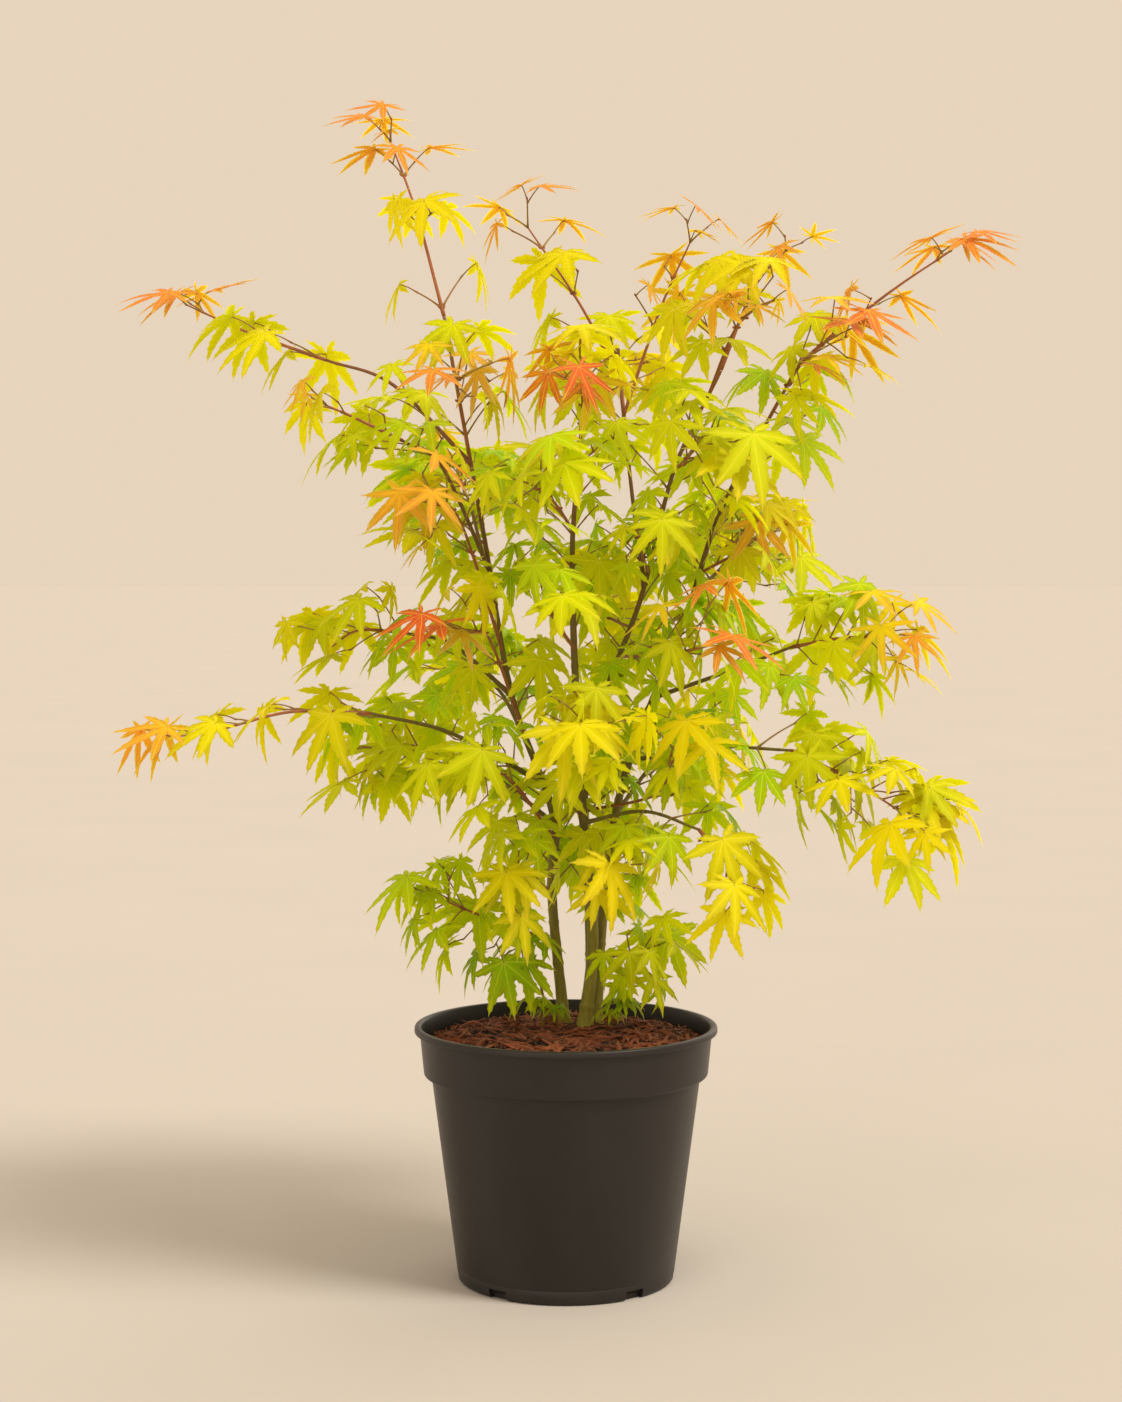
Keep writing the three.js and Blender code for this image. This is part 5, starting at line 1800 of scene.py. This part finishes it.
def build_leaves(garden, settings):
    """The blades, joined region by region, in tints that are dealt out by spray."""
    names = list(TINTS)
    materials = [leaf_material(name, settings) for name in names]
    stream = Stream(SEED)
    gathered = {region: [] for region in REGIONS}
    for spray in garden.sprays:
        tint = names.index(tint_of(spray, stream))
        gathered[FOLIAGE[spray["home"]].region].extend((leaf, tint) for leaf in spray["leaves"])
    plans = (BladePlan(SMALL_TEETH, SMALL_RIB_SHARES), BladePlan(TEETH, RIB_SHARES))
    for number, (region, rows) in enumerate(gathered.items()):
        shape = Shape()
        places = []
        rim = []
        for size, plan in enumerate(plans):
            chosen = [row for row in rows if (row[0]["length"] >= SMALL_LEAF) == size]
            widths = [YOUNG_WIDTH if names[tint] in YOUNG_TINTS else 1 for _, tint in chosen]
            points = blade_points(plan, [leaf for leaf, _ in chosen], widths, SEED + 2 * number + size)
            for leaf_points, (_, tint) in zip(points, chosen):
                shape.add(leaf_points, plan.faces, tint)
            places.append(np.tile(vein_places(plan), (len(chosen), 1)))
            rim.append(np.tile(plan.rim, len(chosen)))
        nodes = [f"foliage_{name}" for name, row in FOLIAGE.items() if row.region == region]
        piece = shape.piece(f"leaves_{region}", materials, np.vstack(places), np.concatenate(rim))
        finished(piece, nodes)


# The stage

CAMERA_PLACE = (-0.0031, -1.6, 0.446)
CAMERA_TILT = 87.03
PHOTO_HEIGHT = 1402
FOCAL_PIXELS = 2570
SENSOR = 36
LOOKED_AT = Vector((0, 0, 0.4))
LIGHT_COLOUR = (1, 0.95, 0.87)
SOFT = math.radians(60)
KEY_PLACE = (1.5, -0.9, 2.5)
FILL_PLACE = (-0.9, -2, 1.1)
BACK_PLACE = (1, 1.5, 1.4)
FLOOR_RADIUS = 60000
FLOOR_DEPTH = 20
FLOOR_DROP = 0.1
FLOOR_SIDES = 96
FLOOR_CREASE = 40


def build_floor(settings):
    """A broad round floor just under the pot."""
    shape = Shape()
    profile = [
        (0, -FLOOR_DEPTH), (FLOOR_RADIUS, -FLOOR_DEPTH), (FLOOR_RADIUS, -FLOOR_DROP), (0, -FLOOR_DROP)]
    shape.add(*lathe(profile, FLOOR_SIDES))
    floor = shape.piece("floor", [floor_material(settings)])
    floor.data.set_sharp_from_angle(angle=math.radians(FLOOR_CREASE))


def build_stage(settings):
    """The floor, three soft lights, the pale surroundings and the camera."""
    build_floor(settings)
    for name, strength, softness, place in (
        ("key", settings.key, settings.key_softness, KEY_PLACE),
        ("fill", settings.fill, SOFT, FILL_PLACE),
        ("back", settings.back, SOFT, BACK_PLACE),
    ):
        sun = bpy.data.lights.new(name, "SUN")
        sun.energy = strength
        sun.angle = softness
        sun.color = LIGHT_COLOUR
        light = placed(name, sun)
        light.location = place
        light.rotation_euler = (LOOKED_AT - Vector(place)).to_track_quat("-Z", "Y").to_euler()
    world = bpy.data.worlds.new("pale surroundings")
    world.use_nodes = True
    sky = {"Color": opaque(settings.sky), "Strength": settings.sky_strength}
    feed(world.node_tree, world.node_tree.nodes["Background"], sky)
    scene = bpy.context.scene
    scene.world = world
    scene.view_settings.view_transform = "Standard"
    lens = bpy.data.cameras.new("camera")
    lens.sensor_width = SENSOR
    lens.lens = FOCAL_PIXELS / PHOTO_HEIGHT * SENSOR
    scene.camera = placed("camera", lens)
    scene.camera.location = CAMERA_PLACE
    scene.camera.rotation_euler = (math.radians(CAMERA_TILT), 0, 0)


# Operators, panel and registration


class MAPLE_OT_pot(bpy.types.Operator):
    """Make the moulded pot"""

    bl_idname = "maple.pot"
    bl_label = "Pot"

    def execute(self, context):
        build_pot(context.scene.maple.pot)
        return {"FINISHED"}


class MAPLE_OT_mulch(bpy.types.Operator):
    """Make the compost and the bark mulch on it"""

    bl_idname = "maple.mulch"
    bl_label = "Mulch"

    def execute(self, context):
        build_mulch(context.scene.maple.mulch)
        return {"FINISHED"}


class MAPLE_OT_limbs(bpy.types.Operator):
    """Make the stems and boughs with their bark"""

    bl_idname = "maple.limbs"
    bl_label = "Stems and boughs"

    def execute(self, context):
        build_limbs(context.scene.maple.bark)
        return {"FINISHED"}


class MAPLE_OT_foliage(bpy.types.Operator):
    """Grow the twigs, leaf stalks and leaves"""

    bl_idname = "maple.foliage"
    bl_label = "Foliage"

    def execute(self, context):
        settings = context.scene.maple
        garden = grow_plant(settings.foliage.inner)
        young_wood = twig_material(settings.bark)
        stalk = stalk_material(settings.foliage)
        build_twigs(garden, [young_wood, stalk])
        build_stalks(garden, stalk)
        build_leaves(garden, settings.foliage)
        return {"FINISHED"}


class MAPLE_OT_stage(bpy.types.Operator):
    """Make the floor, the lights and the camera"""

    bl_idname = "maple.stage"
    bl_label = "Stage"

    def execute(self, context):
        build_stage(context.scene.maple.stage)
        return {"FINISHED"}


class MAPLE_PT_panel(bpy.types.Panel):
    """Lists the pieces in the 3D view's sidebar"""

    bl_label = "Maple"
    bl_space_type = "VIEW_3D"
    bl_region_type = "UI"
    bl_category = "Maple"

    def draw(self, context):
        settings = context.scene.maple
        for part, operator in (
            ("pot", MAPLE_OT_pot),
            ("mulch", MAPLE_OT_mulch),
            ("bark", MAPLE_OT_limbs),
            ("foliage", MAPLE_OT_foliage),
            ("stage", MAPLE_OT_stage),
        ):
            box = self.layout.box()
            box.operator(operator.bl_idname)
            group = getattr(settings, part)
            for key in group.bl_rna.properties.keys():
                if key not in ("rna_type", "name"):
                    box.prop(group, key)


CLASSES = (
    PotSettings,
    MulchSettings,
    BarkSettings,
    FoliageSettings,
    StageSettings,
    MapleSettings,
    MAPLE_OT_pot,
    MAPLE_OT_mulch,
    MAPLE_OT_limbs,
    MAPLE_OT_foliage,
    MAPLE_OT_stage,
    MAPLE_PT_panel,
)


def register():
    for cls in CLASSES:
        bpy.utils.register_class(cls)
    bpy.types.Scene.maple = PointerProperty(type=MapleSettings)


def unregister():
    del bpy.types.Scene.maple
    for cls in reversed(CLASSES):
        bpy.utils.unregister_class(cls)


def main():
    register()
    bpy.ops.maple.stage()
    bpy.ops.maple.pot()
    bpy.ops.maple.mulch()
    bpy.ops.maple.limbs()
    bpy.ops.maple.foliage()


if __name__ == "__main__":
    main()
